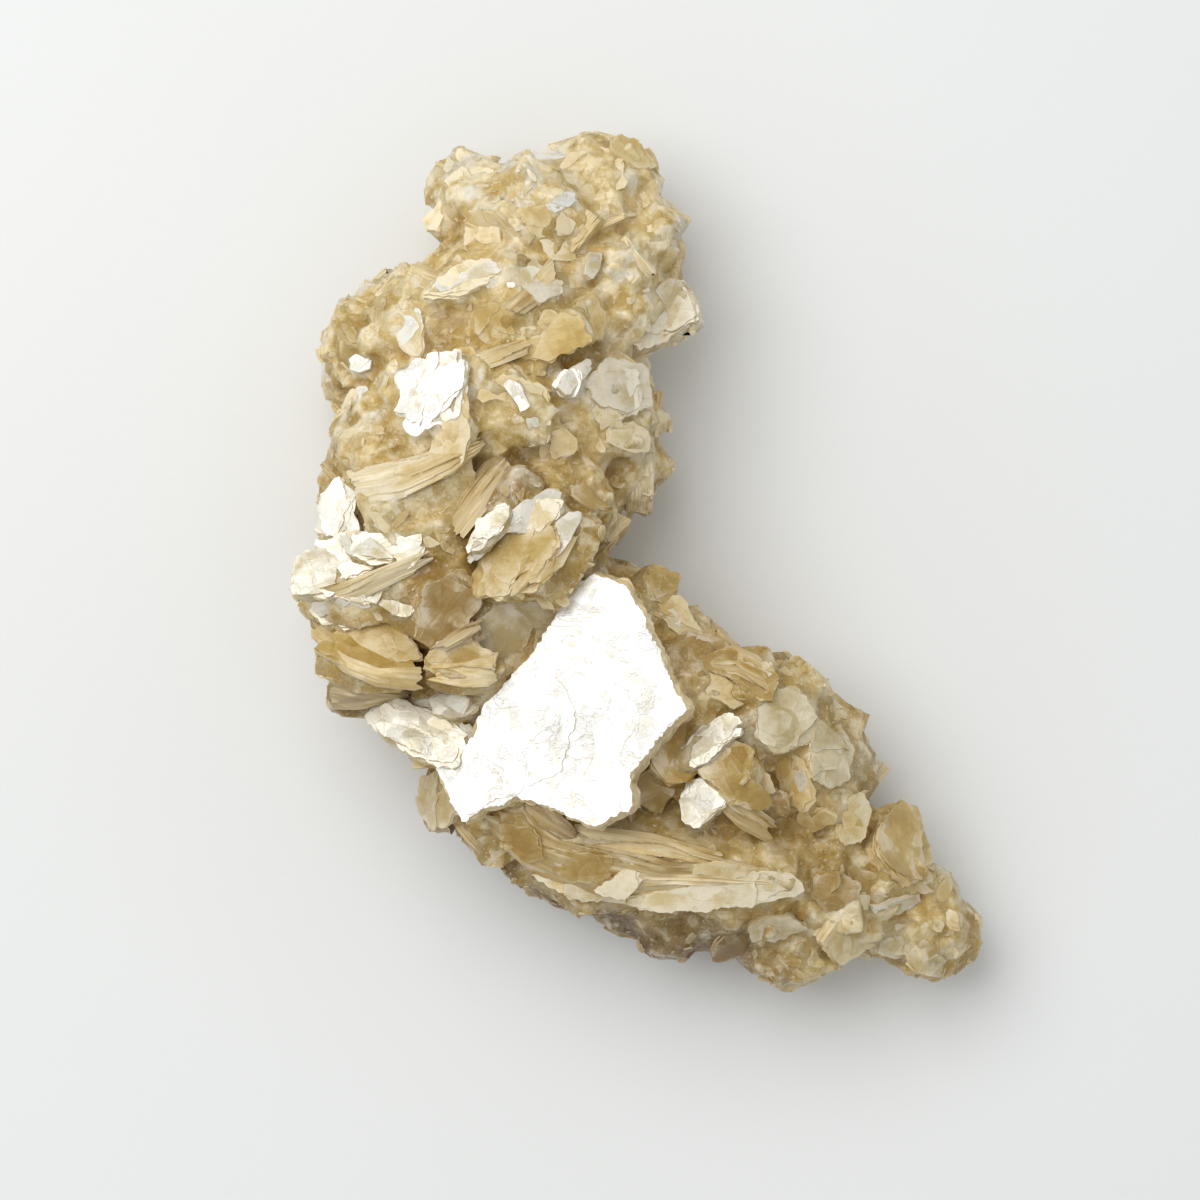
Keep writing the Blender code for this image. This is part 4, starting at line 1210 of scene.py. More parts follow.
def colour_group():
    """Clear golden depths, bruised pale rims, painted light on the mass's ridges, painted shade in its
    hollows, painted sheen and glints, and broken edges whose leaves show as fine lines.
    """
    group, given = group_with(
        "mica colour",
        (
            ("Tint", "Color", (0.7, 0.6, 0.4, 1)),
            ("Pearl", "Float", 0.1),
            ("Rim", "Float", 0.0),
            ("Edge", "Float", 0.0),
            ("Crease", "Float", 0.0),
            ("Cell", "Float", 0.5),
            ("Cell share", "Float", 0.2),
            ("Silver", "Float", 1.0),
            ("Streaks", "Float", 0.3),
            ("Flecks", "Float", 0.6),
            ("Grown", "Vector"),
            ("Broken edge", "Color", (0.8, 0.7, 0.5, 1)),
            ("Cloud size", "Float", 0.22),
        ),
        (("Colour", "Color"), ("Shine", "Float"), ("Cloud", "Float"), ("Lines", "Float")),
    )
    grown, tint, edge = given["Grown"], given["Tint"], given["Edge"]
    cloud = noise_node(group, grown, given["Cloud size"], 4, 0.62)
    streak = noise_node(group, stretched(group, grown, (0.3, 3.0, 0.3)), 1, 3, 0.6)
    lines = noise_node(group, stretched(group, grown, (0.22, 0.22, 7.0)), 1, 2, 0.65)
    glint_noise = noise_node(group, grown, 2.0, 3, 0.75)
    patch = noise_node(group, grown, 0.3, 2, 0.6)

    level = plus(group, times(group, cloud, 1.2), times(group, given["Cell"], given["Cell share"]))
    level = plus(group, level, times(group, minus(group, streak, 0.5), given["Streaks"]))
    # On the mass the rim is its relief, so ridges get painted light and hollows painted shade; on the leaves it
    # pales their torn rims.
    level = plus(group, level, times(group, given["Rim"], 0.13))
    level = minus(group, level, times(group, given["Cell share"], 0.5))

    deep = shaded(group, tint, DEEP_SHADE)
    # painted shade in the hollows of the mass
    hollow_shade_mask = ramp(group, given["Rim"], -1.0, -0.3, 0.5, 0.0)
    # painted glints: tiny near-white specks
    glint_mask = times(group, ramp(group, glint_noise, 0.60, 0.72), given["Flecks"])
    face = mix_colours(group, ramp(group, level, 0.45, 0.70), deep, tint)
    pale = mix_colours(group, 0.5, tint, BRUISE_AND_RIDGE_LIGHT)
    face = mix_colours(group, ramp(group, level, 0.64, 0.90), face, pale)
    face = mix_colours(group, glint_mask, face, PAINTED_GLINT)
    face = mix_colours(group, hollow_shade_mask, face, shaded(group, deep, PAINTED_HOLLOW_SHADE))

    broken = mix_colours(group, 0.5, tint, given["Broken edge"])
    dark = shaded(group, broken, EDGE_SHADE)
    side = mix_colours(group, ramp(group, lines, 0.36, 0.62), dark, broken)
    colour = mix_colours(group, edge, face, side)

    # painted sheen: where a face shines, its colour turns near white, besides the metallic shine below
    reach = plus(group, given["Pearl"], minus(group, patch, 0.5))
    silver = times(group, ramp(group, reach, 0.50, 0.68), given["Silver"])
    silver = times(group, silver, minus(group, 1, edge))
    sheen_colour = mix_colours(group, 0.35, tint, SHEEN_WHITE)
    dull = shaded(group, tint, DULL_SHADE)
    bright = mix_colours(group, ramp(group, level, 0.45, 0.65), dull, sheen_colour)
    bright = mix_colours(group, given["Crease"], bright, CREASE_COLOUR)
    colour = mix_colours(group, silver, colour, bright)
    shine = times(group, silver, 0.22)
    add_node(group, "NodeGroupOutput", {
        "Colour": colour, "Shine": shine, "Cloud": cloud, "Lines": lines,
    })
    return group


LEAF_RELIEF = 0.00016  # height of the leaves' lines on a broken edge, in metres


def relief_group():
    """Height of the fine creases, tilted cells and grit on a face, and of the leaves on an edge, in
    metres."""
    group, given = group_with(
        "mica relief",
        (
            ("Grown", "Vector"),
            ("Edge", "Float", 0.0),
            ("Lines", "Float", 0.5),
            ("Crease size", "Float", 0.4),
            ("Crease height", "Float", 0.00005),
            ("Grit height", "Float", 0.00002),
            ("Cell size", "Float", 0.5),
            ("Cell slope", "Float", 0.0003),
        ),
        (("Height", "Float"), ("Crease", "Float"), ("Cell", "Float")),
    )
    grown = given["Grown"]
    crease = noise_node(group, grown, given["Crease size"], 4, 0.62, 0.9)
    ridge = math_node(group, "ABSOLUTE", minus(group, crease, 0.5), 0)
    fold = ramp(group, ridge, 0.0, 0.03, 1.0, 0.0)
    hair = ramp(group, ridge, 0.0, 0.011, 1.0, 0.0)
    some = noise_node(group, grown, 0.16, 1, 0.5)
    hair = times(group, hair, ramp(group, some, 0.38, 0.52, 0.0, 0.9))
    grit = noise_node(group, grown, 4.0, 1, 0.6)
    cell, tilted = cell_tilts(group, grown, given["Cell size"])
    face = times(group, fold, given["Crease height"])
    face = plus(group, face, times(group, grit, given["Grit height"]))
    face = plus(group, face, times(group, tilted, given["Cell slope"]))
    side = times(group, given["Lines"], LEAF_RELIEF)
    height = add_node(group, "ShaderNodeMix", {"Factor": given["Edge"], 2: face, 3: side})[0]
    add_node(group, "NodeGroupOutput", {"Height": height, "Crease": hair, "Cell": cell})
    return group


def bump_from(tree, height, shader):
    bump = add_node(tree, "ShaderNodeBump", {"Strength": 1.0, "Distance": 1.0, "Height": height})
    tree.links.new(bump["Normal"], shader.inputs["Normal"])


def mica_material(name, finish, groups, roughness, glow, colour_values, relief_values):
    """A finish that reads each crystal's own tint, rim, edges and grown coordinates."""
    material, tree, shader = new_material(name)
    broken = tuple(finish.edge_colour)
    colour = place_group(tree, groups["colour"], Broken_edge=broken, **colour_values)
    grown = attribute(tree, "grown", "Vector")
    edge = attribute(tree, "edge")
    relief = place_group(tree, groups["relief"], **relief_values)
    for source, target in (
        (attribute(tree, "tint", "Color"), colour.inputs["Tint"]),
        (attribute(tree, "tint", "Alpha"), colour.inputs["Pearl"]),
        (attribute(tree, "rim"), colour.inputs["Rim"]),
        (edge, colour.inputs["Edge"]),
        (grown, colour.inputs["Grown"]),
        (relief.outputs["Crease"], colour.inputs["Crease"]),
        (relief.outputs["Cell"], colour.inputs["Cell"]),
        (grown, relief.inputs["Grown"]),
        (edge, relief.inputs["Edge"]),
        (colour.outputs["Lines"], relief.inputs["Lines"]),
        (colour.outputs["Colour"], shader.inputs["Base Color"]),
        (colour.outputs["Shine"], shader.inputs["Metallic"]),
    ):
        tree.links.new(source, target)
    bump_from(tree, relief.outputs["Height"], shader)
    rough = plus(tree, times(tree, colour.outputs["Cloud"], 0.3), times(tree, edge, 0.2))
    tree.links.new(plus(tree, rough, roughness), shader.inputs["Roughness"])
    shader.inputs["IOR"].default_value = 1.58
    if glow:
        shader.subsurface_method = "BURLEY"
        shader.inputs["Subsurface Weight"].default_value = glow
        shader.inputs["Subsurface Radius"].default_value = (1.0, 0.88, 0.66)
        shader.inputs["Subsurface Scale"].default_value = 0.0008
    return material


def leaf_material(finish, groups):
    return mica_material(
        "mica leaves", finish, groups, 0.20, 0.0,
        {"Silver": 1.0, "Streaks": 0.22, "Flecks": 0.15, "Cell_share": 0.16, "Cloud_size": 0.22},
        {
            "Crease_size": 0.24, "Crease_height": 0.00002, "Grit_height": 0.00002,
            "Cell_size": 0.42, "Cell_slope": 0.00024,
        },
    )


def mass_material(finish, groups):
    return mica_material(
        "mica mass", finish, groups, 0.16, finish.glow,
        {"Silver": 0.0, "Streaks": 0.15, "Flecks": 0.85, "Cell_share": 0.22, "Cloud_size": 0.42},
        {
            "Crease_size": 0.9, "Crease_height": 0.00004, "Grit_height": 0.00003,
            "Cell_size": 0.55, "Cell_slope": 0.0007,
        },
    )


FLOOR_COLOURS = ((0.83, 0.845, 0.84, 1), (0.87, 0.88, 0.875, 1))
FLOOR_GRAIN = 0.00002  # height of its grain, in metres


def floor_material():
    material, tree, shader = new_material("pale floor")
    where = add_node(tree, "ShaderNodeTexCoord")["Object"]
    colour = mix_colours(tree, noise_node(tree, where, 9, 3), *FLOOR_COLOURS)
    tree.links.new(colour, shader.inputs["Base Color"])
    bump_from(tree, times(tree, noise_node(tree, where, 900, 2), FLOOR_GRAIN), shader)
    shader.inputs["Roughness"].default_value = 0.9
    shader.inputs["Specular IOR Level"].default_value = 0.1
    return material


def shared_groups():
    return {"colour": colour_group(), "relief": relief_group()}


# --- Pieces --------------------------------------------------------------------------------------


def finish_piece(piece):
    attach(piece, BODY)
    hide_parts(NODE)


def link(mesh, name):
    made = bpy.data.objects.new(name, mesh)
    bpy.context.scene.collection.objects.link(made)
    return made


def baked(source, name):
    """Turns an object and its modifiers into a plain mesh object, and removes the old one."""
    graph = bpy.context.evaluated_depsgraph_get()
    mesh = bpy.data.meshes.new_from_object(source.evaluated_get(graph))
    mesh.name = name
    bpy.data.objects.remove(source)
    return link(mesh, name)


def remove_shapes(home):
    for shape in list(home.objects):
        bpy.data.objects.remove(shape)
    bpy.data.collections.remove(home)


def joined(meshes, name):
    bm = bmesh.new()
    for mesh in meshes:
        bm.from_mesh(mesh)
    mesh = bpy.data.meshes.new(name)
    bm.to_mesh(mesh)
    bm.free()
    return mesh


def lump_mesh():
    bm = bmesh.new()
    for lump in MASS:
        radii = (radius - MASS_INSET for radius in (lump.rx, lump.ry, lump.rz))
        matrix = Matrix.Translation((lump.x, lump.y, lump.z)) @ Matrix.Diagonal((*radii, 1))
        bmesh.ops.create_icosphere(bm, subdivisions=3, radius=1, matrix=matrix)
    mesh = bpy.data.meshes.new("lumps")
    bm.to_mesh(mesh)
    bm.free()
    return mesh


def add_melt(target, grain):
    melt = target.modifiers.new("Melt", "REMESH")
    melt.mode = "VOXEL"
    melt.voxel_size = grain


def all_books():
    """Every book but the bright face, with its outline, in the order in which they grew."""
    placed = [LONG_BOOK_SHOWN if book == LONG_BOOK else book for book in PLACED_BOOKS]
    books = [(book, random.Random(number)) for number, book in enumerate(placed)]
    filling = (*FILLING_BOOKS, *grown_books())
    books += [(book, random.Random(1000 + number)) for number, book in enumerate(filling)]
    for number, (x, y, bearing, length, width) in enumerate(RESTING_FACES):
        face = Book(x, y, RESTING_THICK, bearing, 0, 0, length, width, RESTING_THICK * 1.2, "tan")
        books.append((face, random.Random(-1 - number)))
    return [(book, book_outline(book, rng), rng) for book, rng in books]


def stands_on_edge(book):
    return book.lean >= FAN_FROM and book.length >= STRIPED_FROM and book.y < STRIPED_BELOW


def add_body(pile, book, shape, seed):
    """The part of a book that is one with the mass: its sides spread as they go down."""
    spots = evenly_round(shape, max(10, round(outline_length(shape))))
    rings = []
    for depth, spread in ((0.3, -0.3), (0.35 * book.thick, 0.1), (book.thick, 0.5)):
        rings.append(torn_ring(spots, depth, spread, 0.5, seed))
    pile.add_stack(rings, placed_at(book_frame(book)), [(1, 1, 1, 0)] * 3, 0.0, caps=())


def grow_mass(material):
    """Melts the lumps, the books' bodies and hundreds of small crystals into one body."""
    lumps = link(lump_mesh(), "lumps")
    add_melt(lumps, BARE_GRAIN)
    bare = baked(lumps, "bare_mass")
    spots = [(vert.co.copy(), vert.normal.copy()) for vert in bare.data.vertices]
    knobs = []
    for spot, out in spots:
        knobs.extend(spot + out * (noise.fractal(spot * KNOBS_PER_MM, 1.0, 2.0, 3) * KNOB_HEIGHT))
    bare.data.vertices.foreach_set("co", knobs)
    bare.data.update()
    bodies, large_bodies = Pile(), Pile()
    books = all_books()
    for number, (book, shape, _) in enumerate(books):
        if number < len(PLACED_BOOKS) or not stands_on_edge(book):
            add_body(bodies, book, shape, float(number))
        if number < len(PLACED_BOOKS):
            add_body(large_bodies, book, shape, float(number))
    body_mesh = bodies.to_mesh("bodies", material, 1.0)
    crystals = hidden_shapes("small_crystal", small_crystal_piles(), material)
    large = link(large_bodies.to_mesh("large_bodies", material, 1.0), "large_bodies")
    tree, sockets = scatter_tree(material)
    add_scatter(bare, tree, sockets, {
        "Flakes": crystals, "Books": large, "Spacing": GROWN_IN_SPACING,
        "Smallest": GROWN_IN_LENGTH[0], "Largest": GROWN_IN_LENGTH[1], "Patch size": 8.0,
        "Follow surface": 0.72, "Keep surface": True, "Clearance": 1.3, "Seed": 5,
    })
    crusted = baked(bare, "crusted_mass")
    remove_shapes(crystals)
    rough = link(joined([crusted.data, body_mesh], "rough_mass"), "rough_mass")
    bpy.data.objects.remove(crusted)
    bpy.data.objects.remove(large)
    add_melt(rough, MASS_GRAIN)
    mass = baked(rough, "grown_mass")
    paint_mass(mass.data, books)
    mass.data.shade_smooth()
    mass.data.materials.clear()
    mass.data.materials.append(material)
    return mass


def paint_mass(mesh, books):
    """Gives the mass its crystals' tints, painted light on its ridges and painted shade in its hollows,
    and sets it in metres.
    """
    count = len(mesh.vertices)
    spots = np.empty(count * 3, np.float32)
    mesh.vertices.foreach_get("co", spots)
    spots = spots.reshape(count, 3)
    tints = np.array([facet_tint(Vector(spot), FACET_SIZE) for spot in spots.tolist()], np.float32)
    for book, _, rng in books:
        inverse = np.array(book_frame(book).inverted())
        x, y, z = (spots @ inverse[:3, :3].T + inverse[:3, 3]).T
        near = (np.abs(x) < book.length * 0.52) & (np.abs(y) < book.width * 0.52)
        near &= (z < 0.5) & (z > -book.thick)
        own = np.array(zoned(TONES[book.tone], book.x, book.y, book.z), np.float32)
        tints[near] = 0.35 * tints[near] + 0.65 * own
    # its relief, stored as its rim, gives painted light on ridges and painted shade in hollows
    relief = np.clip(relief_of(mesh, spots) / RELIEF_SPAN, -1, 1)
    mesh.attributes.new("tint", "FLOAT_COLOR", "POINT").data.foreach_set("color", tints.ravel())
    mesh.attributes.new("grown", "FLOAT_VECTOR", "POINT").data.foreach_set("vector", spots.ravel())
    mesh.attributes.new("rim", "FLOAT", "POINT").data.foreach_set("value", relief)
    placed = spots * MM
    placed[:, 2] = np.maximum(placed[:, 2], 0.00002)
    mesh.vertices.foreach_set("co", placed.ravel())
    mesh.update()


def relief_of(mesh, spots):
    """How far each point stands out of the smoothed surface, along its normal, in mm."""
    edges = np.empty(len(mesh.edges) * 2, np.int32)
    mesh.edges.foreach_get("vertices", edges)
    a, b = edges[0::2], edges[1::2]
    count = len(spots)
    neighbours = np.bincount(a, minlength=count) + np.bincount(b, minlength=count)
    smooth = spots.astype(np.float64)
    for _ in range(RELIEF_REACH):
        total = np.stack([
            np.bincount(a, smooth[b, axis], count) + np.bincount(b, smooth[a, axis], count)
            for axis in range(3)
        ], 1)
        smooth = total / np.maximum(neighbours, 1)[:, None]
    normals = np.empty(count * 3, np.float32)
    mesh.vertices.foreach_get("normal", normals)
    return ((spots - smooth) * normals.reshape(count, 3)).sum(1)


def nearest_seed(spot, size):
    """The seed of the crystal that a spot of the mass is in, in mm, and its own random vector."""
    seed = noise.voronoi(spot / size)[1][0]
    return seed * size, noise.cell_vector(seed * 37.0) * 2 - Vector((1, 1, 1))


def facet_tint(spot, size):
    _, pick = nearest_seed(spot, size)
    name = FACET_TONES[int((pick.x + 1) / 2 * len(FACET_TONES)) % len(FACET_TONES)]
    tone = zoned(TONES[name], *spot)
    light = 1 + 0.09 * pick.y
    return (*(min(1, part * light) for part in tone[:3]), tone[3])


def crystal_shape(rng, sides, flatness):
    shape = []
    for side in range(sides):
        angle = math.tau * (side + rng.uniform(-0.3, 0.3)) / sides
        reach = rng.uniform(0.36, 0.58)
        shape.append((math.cos(angle) * reach, math.sin(angle) * reach * flatness))
    return shape


def hidden_shapes(name, piles, material):
    """Unit-long shapes in a collection of their own, for scattering."""
    home = bpy.data.collections.new(name)
    for number, pile in enumerate(piles):
        mesh = pile.to_mesh(f"{name}_{number}", material, 1.0)
        mesh.attributes.remove(mesh.attributes["tint"])
        home.objects.link(bpy.data.objects.new(mesh.name, mesh))
    return home


SHAPE_SPAN = 3.0  # mm of pattern across a unit-long shape


def unit_fit(x, y, z):
    return Vector((x, y, z))


def flake_piles():
    """Ragged thin flakes, one or two leaves each; every third one is a narrow shard."""
    rng = random.Random(21)
    piles = []
    for number in range(12):
        pile = Pile()
        shard = number % 3 == 2
        flatness = (0.2, 0.35) if shard else (0.55, 0.85)
        shape = crystal_shape(rng, rng.choice((5, 6, 7)), rng.uniform(*flatness))
        height = 0.02
        for leaf in range(1 if shard else 1 + number % 2):
            shift = rng.uniform(-0.08, 0.08)
            ring = [(x + shift, y - shift, height) for x, y in ragged_unit(shape, rng, 9)]
            thick = rng.uniform(0.03, 0.05)
            lower = [(x, y, z - thick) for x, y, z in ring]
            root = [(x * 0.7, y * 0.7, z - 0.3) for x, y, z in ring]
            pile.add_stack([ring, lower, root], unit_fit, [(1, 1, 1, 0)] * 3, number, caps=())
            height -= 0.05
        pile.grown = [[part * SHAPE_SPAN for part in spot] for spot in pile.grown]
        piles.append(pile)
    return piles


def ragged_unit(shape, rng, count):
    spots = evenly_round(shape, count)
    return [(x + rng.uniform(-0.05, 0.05), y + rng.uniform(-0.05, 0.05)) for x, y, _, _ in spots]


def small_crystal_piles():
    """Thick crystals with plain flat sides."""
    rng = random.Random(33)
    piles = []
    for number in range(10):
        pile = Pile()
        shape = crystal_shape(rng, rng.choice((4, 5, 6, 6)), rng.uniform(0.6, 0.95))
        base = ragged_unit(shape, rng, 9)
        rings = []
        for height, grow in ((0.12, 0.92), (0.07, 1.0), (-0.3, 0.95)):
            rings.append([(x * grow, y * grow, height) for x, y in base])
        pile.add_stack(rings, unit_fit, [(1, 1, 1, 0)] * len(rings), number, caps=())
        piles.append(pile)
    return piles


FLAKE_TONES = ("honey", "gold", "cream", "pale", "cream", "pale", "silver", "pale", "silver")
JITTER = 0.22  # how far a flake leans at random
MOSTLY_SMALL = 2.8  # the higher, the fewer large flakes there are


def scatter_tree(material):
    """Geometry Nodes that scatter flakes over a surface, each patch of them leaning its own way."""
    tree = bpy.data.node_groups.new("scatter flakes", "GeometryNodeTree")
    sockets = add_sockets(tree, "INPUT", (
        ("Geometry", "Geometry"),
        ("Flakes", "Collection"),
        ("Books", "Object"),
        ("Spacing", "Float", 0.0012),
        ("Smallest", "Float", 0.0012),
        ("Largest", "Float", 0.004),
        ("Clearance", "Float", 0.0008),
        ("Patch size", "Float", 0.006),
        ("Follow surface", "Float", 0.7),
        ("Own tint", "Float", 0.5),
        ("Keep surface", "Bool", False),
        ("Seed", "Int", 3),
    ))
    add_sockets(tree, "OUTPUT", (("Geometry", "Geometry"),))
    given = add_node(tree, "NodeGroupInput")
    surface, seed = given["Geometry"], given["Seed"]

    def node(kind, inputs=(), **settings):
        return add_node(tree, kind, inputs, **settings)

    def dice(kind="FLOAT", ends=()):
        """A random value for each flake, between ends given by the numbers of their inputs."""
        return node("FunctionNodeRandomValue", {**dict(ends), "Seed": seed}, data_type=kind)

    # Where: spread out evenly, and clear of the books.
    density = times(tree, math_node(tree, "POWER", given["Spacing"], -2.0), 4.0)
    spread = node("GeometryNodeDistributePointsOnFaces", {
        "Mesh": surface, "Distance Min": given["Spacing"], "Density Max": density, "Seed": seed,
    }, distribute_method="POISSON")
    books = node("GeometryNodeObjectInfo", {"Object": given["Books"]})["Geometry"]
    near = node("GeometryNodeProximity", {"Geometry": books}, target_element="FACES")["Distance"]
    close = node("FunctionNodeCompare", {"A": near, "B": given["Clearance"]},
                 data_type="FLOAT", operation="LESS_THAN")["Result"]
    spots = node("GeometryNodeDeleteGeometry", {"Geometry": spread["Points"], "Selection": close},
                 domain="POINT")["Geometry"]

    # Leaning: part with the surface, part with the rest of its patch, and a little at random.
    patch = node("ShaderNodeTexVoronoi", {
        "Vector": node("GeometryNodeInputPosition")["Position"],
        "Scale": math_node(tree, "DIVIDE", 1.0, given["Patch size"]),
    }, feature="F1")["Color"]
    lean = vector_node(tree, "MULTIPLY_ADD", patch, (2, 2, 2), (-1, -1, -1))[0]
    mixed = node("ShaderNodeMix", {
        "Factor": given["Follow surface"], 4: lean, 5: spread["Normal"],
    }, data_type="VECTOR")[1]
    jitter = dice("FLOAT_VECTOR", {0: (-JITTER,) * 3, 1: (JITTER,) * 3})[0]
    facing = vector_node(tree, "ADD", mixed, jitter)[0]
    turn = node("FunctionNodeAlignRotationToVector", {"Vector": facing}, axis="Z")["Rotation"]
    angle = dice("FLOAT", {3: math.tau})[1]
    spin = node("FunctionNodeAxisAngleToRotation", {"Axis": (0, 0, 1), "Angle": angle})
    turned = node("FunctionNodeRotateRotation", {"Rotation": turn, "Rotate By": spin["Rotation"]},
                  rotation_space="LOCAL")["Rotation"]

    # Size: mostly small, and uneven.
    size = node("ShaderNodeMapRange", {
        "Value": math_node(tree, "POWER", dice()[1], MOSTLY_SMALL),
        "To Min": given["Smallest"], "To Max": given["Largest"],
    })["Result"]
    uneven = node("FunctionNodeRandomValue", {0: (0.8, 0.7, 0.7), 1: (1.2, 1.1, 1.5)},
                  data_type="FLOAT_VECTOR")[0]
    scale = node("ShaderNodeVectorMath", {0: uneven, "Scale": size}, operation="SCALE")[0]

    shapes = node("GeometryNodeCollectionInfo", {
        "Collection": given["Flakes"], "Separate Children": True, "Reset Children": True,
    })["Instances"]
    flakes = node("GeometryNodeInstanceOnPoints", {
        "Points": spots, "Instance": shapes, "Pick Instance": True,
        "Rotation": turned, "Scale": scale,
    })["Instances"]

    # Tint: part the surface's own, part drawn from the flakes' tones.
    draw = node("FunctionNodeRandomValue", {"Seed": 77}, data_type="FLOAT")[1]
    shades = tree.nodes.new("ShaderNodeValToRGB")
    stops = shades.color_ramp.elements
    while len(stops) < len(FLAKE_TONES):
        stops.new(0.5)
    for index, tone in enumerate(FLAKE_TONES):
        stops[index].position = index / (len(FLAKE_TONES) - 1)
        stops[index].color = TONES[tone]
    tree.links.new(draw, shades.inputs["Fac"])
    under = node("GeometryNodeInputNamedAttribute", {"Name": "tint"}, data_type="FLOAT_COLOR")
    blend = node("ShaderNodeMix", {
        "Factor": given["Own tint"], "A": under["Attribute"], "B": shades.outputs["Color"],
    }, data_type="RGBA")["Result"]
    tinted = node("GeometryNodeStoreNamedAttribute", {
        "Geometry": flakes, "Name": "tint", "Value": blend,
    }, data_type="FLOAT_COLOR", domain="INSTANCE")["Geometry"]
    real = node("GeometryNodeRealizeInstances", {"Geometry": tinted})["Geometry"]
    kept = node("GeometryNodeSwitch", {"Switch": given["Keep surface"], "True": surface},
                input_type="GEOMETRY")["Output"]
    both = tree.nodes.new("GeometryNodeJoinGeometry")
    for part in (real, kept):
        tree.links.new(part, both.inputs["Geometry"])
    finish = node("GeometryNodeSetMaterial", {
        "Geometry": both.outputs["Geometry"], "Material": material,
    })["Geometry"]
    node("NodeGroupOutput", {"Geometry": finish})
    return tree, sockets


def add_scatter(target, tree, sockets, values):
    modifier = target.modifiers.new("Scatter", "NODES")
    modifier.node_group = tree
    for label, value in values.items():
        modifier[sockets[label]] = value


def scatter(name, surface, tree, sockets, values):
    """Scatters shapes over a surface, and returns them as one plain mesh."""
    carrier = link(surface.data.copy(), name)
    add_scatter(carrier, tree, sockets, values)
    scattered = baked(carrier, name)
    for vert in scattered.data.vertices:
        vert.co.z = max(vert.co.z, 0)
    scattered.data.shade_smooth()
    scattered.data.set_sharp_from_angle(angle=math.radians(24))
    return scattered


# --- Operators -----------------------------------------------------------------------------------


def piece(name):
    return bpy.data.objects[name]


def material_named(name, scene):
    known = bpy.data.materials.get(name)
    if known:
        return known
    groups = shared_groups()
    leaf_material(scene.mica_finish, groups)
    mass_material(scene.mica_finish, groups)
    return bpy.data.materials[name]


class MICA_OT_grow_mass(bpy.types.Operator):
    """Grow the granular mass that the books stand in"""

    bl_idname = "mica.grow_mass"
    bl_label = "Grow Mass"

    def execute(self, context):
        finish_piece(grow_mass(material_named("mica mass", context.scene)))
        return {"FINISHED"}


class MICA_OT_grow_books(bpy.types.Operator):
    """Grow the large books, leaf by leaf"""

    bl_idname = "mica.grow_books"
    bl_label = "Grow Large Books"

    def execute(self, context):
        grow_books(context.scene, "large_books", all_books()[:len(PLACED_BOOKS)])
        return {"FINISHED"}


class MICA_OT_grow_filling(bpy.types.Operator):
    """Grow the books that fill in between the large ones and on the underside"""

    bl_idname = "mica.grow_filling"
    bl_label = "Grow Filling Books"

    def execute(self, context):
        grow_books(context.scene, "filling_books", all_books()[len(PLACED_BOOKS):])
        return {"FINISHED"}


def grow_books(scene, name, books):
    pile = Pile()
    for book, shape, rng in books:
        if stands_on_edge(book) and name == "large_books":
            continue
        add_book(pile, book, rng, shape, scene.mica_leaves)
        if stands_on_edge(book):
            add_striped_body(pile, book, rng, shape, scene.mica_leaves)
    finish_piece(pile.to_object(name, material_named("mica leaves", scene)))


class MICA_OT_cleave_face(bpy.types.Operator):
    """Cleave the broad bright face"""

    bl_idname = "mica.cleave_face"
    bl_label = "Cleave Bright Face"

    def execute(self, context):
        pile = Pile()
        add_bright_face(pile, context.scene.mica_leaves)
        finish_piece(pile.to_object("bright_face", material_named("mica leaves", context.scene)))
        return {"FINISHED"}


class MICA_OT_lay_faces(bpy.types.Operator):
    """Lay the smaller open faces on the mass and the books"""

    bl_idname = "mica.lay_faces"
    bl_label = "Lay Open Faces"

    def execute(self, context):
        leaves = context.scene.mica_leaves
        material = material_named("mica leaves", context.scene)
        below = [piece(name).data for name in ("grown_mass", "large_books", "filling_books")]
        tree = surface_of(below)
        pile = Pile()
        rng = random.Random(12)
        for sheaf in SHEAVES:
            add_sheaf(pile, sheaf, tree, rng)
        tree = surface_of([*below, pile.to_mesh("sheaves", material, MM)])
        for tone, *corners in OPEN_FACES:
            cover = 0.52 if tone in ("grey", "pale") else 0.66
            add_open_face(pile, tone, corners, tree, rng, leaves, cover)
        for tone, *corners in LONG_BOOK_LEAVES:
            add_open_face(pile, tone, corners, tree, rng, leaves, 0.86)
        finish_piece(pile.to_object("open_faces", material))
        return {"FINISHED"}


def surface_of(meshes):
    """The surface of several meshes, for finding what lies below a spot."""
    bm = bmesh.new()
    for mesh in meshes:
        bm.from_mesh(mesh)
    tree = BVHTree.FromBMesh(bm)
    bm.free()
    return tree


class MICA_OT_scatter_flakes(bpy.types.Operator):
    """Scatter small flakes over the mass"""

    bl_idname = "mica.scatter_flakes"
    bl_label = "Scatter Flakes"

    def execute(self, context):
        material = material_named("mica leaves", context.scene)
        settings = context.scene.mica_flakes
        tree, sockets = scatter_tree(material)
        leafy = [
            piece(name).data
            for name in ("large_books", "filling_books", "bright_face", "open_faces")
        ]
        books = link(joined(leafy, "books for clearance"), "books for clearance")
        flakes = hidden_shapes("flake", flake_piles(), material)
        finish_piece(scatter("small_flakes", piece("grown_mass"), tree, sockets, {
            "Flakes": flakes, "Books": books, "Spacing": settings.spacing,
            "Smallest": settings.smallest, "Largest": settings.largest,
            "Clearance": settings.clearance, "Seed": 3, "Follow surface": 0.78, "Own tint": 0.26,
        }))
        remove_shapes(flakes)
        bpy.data.objects.remove(books)
        return {"FINISHED"}


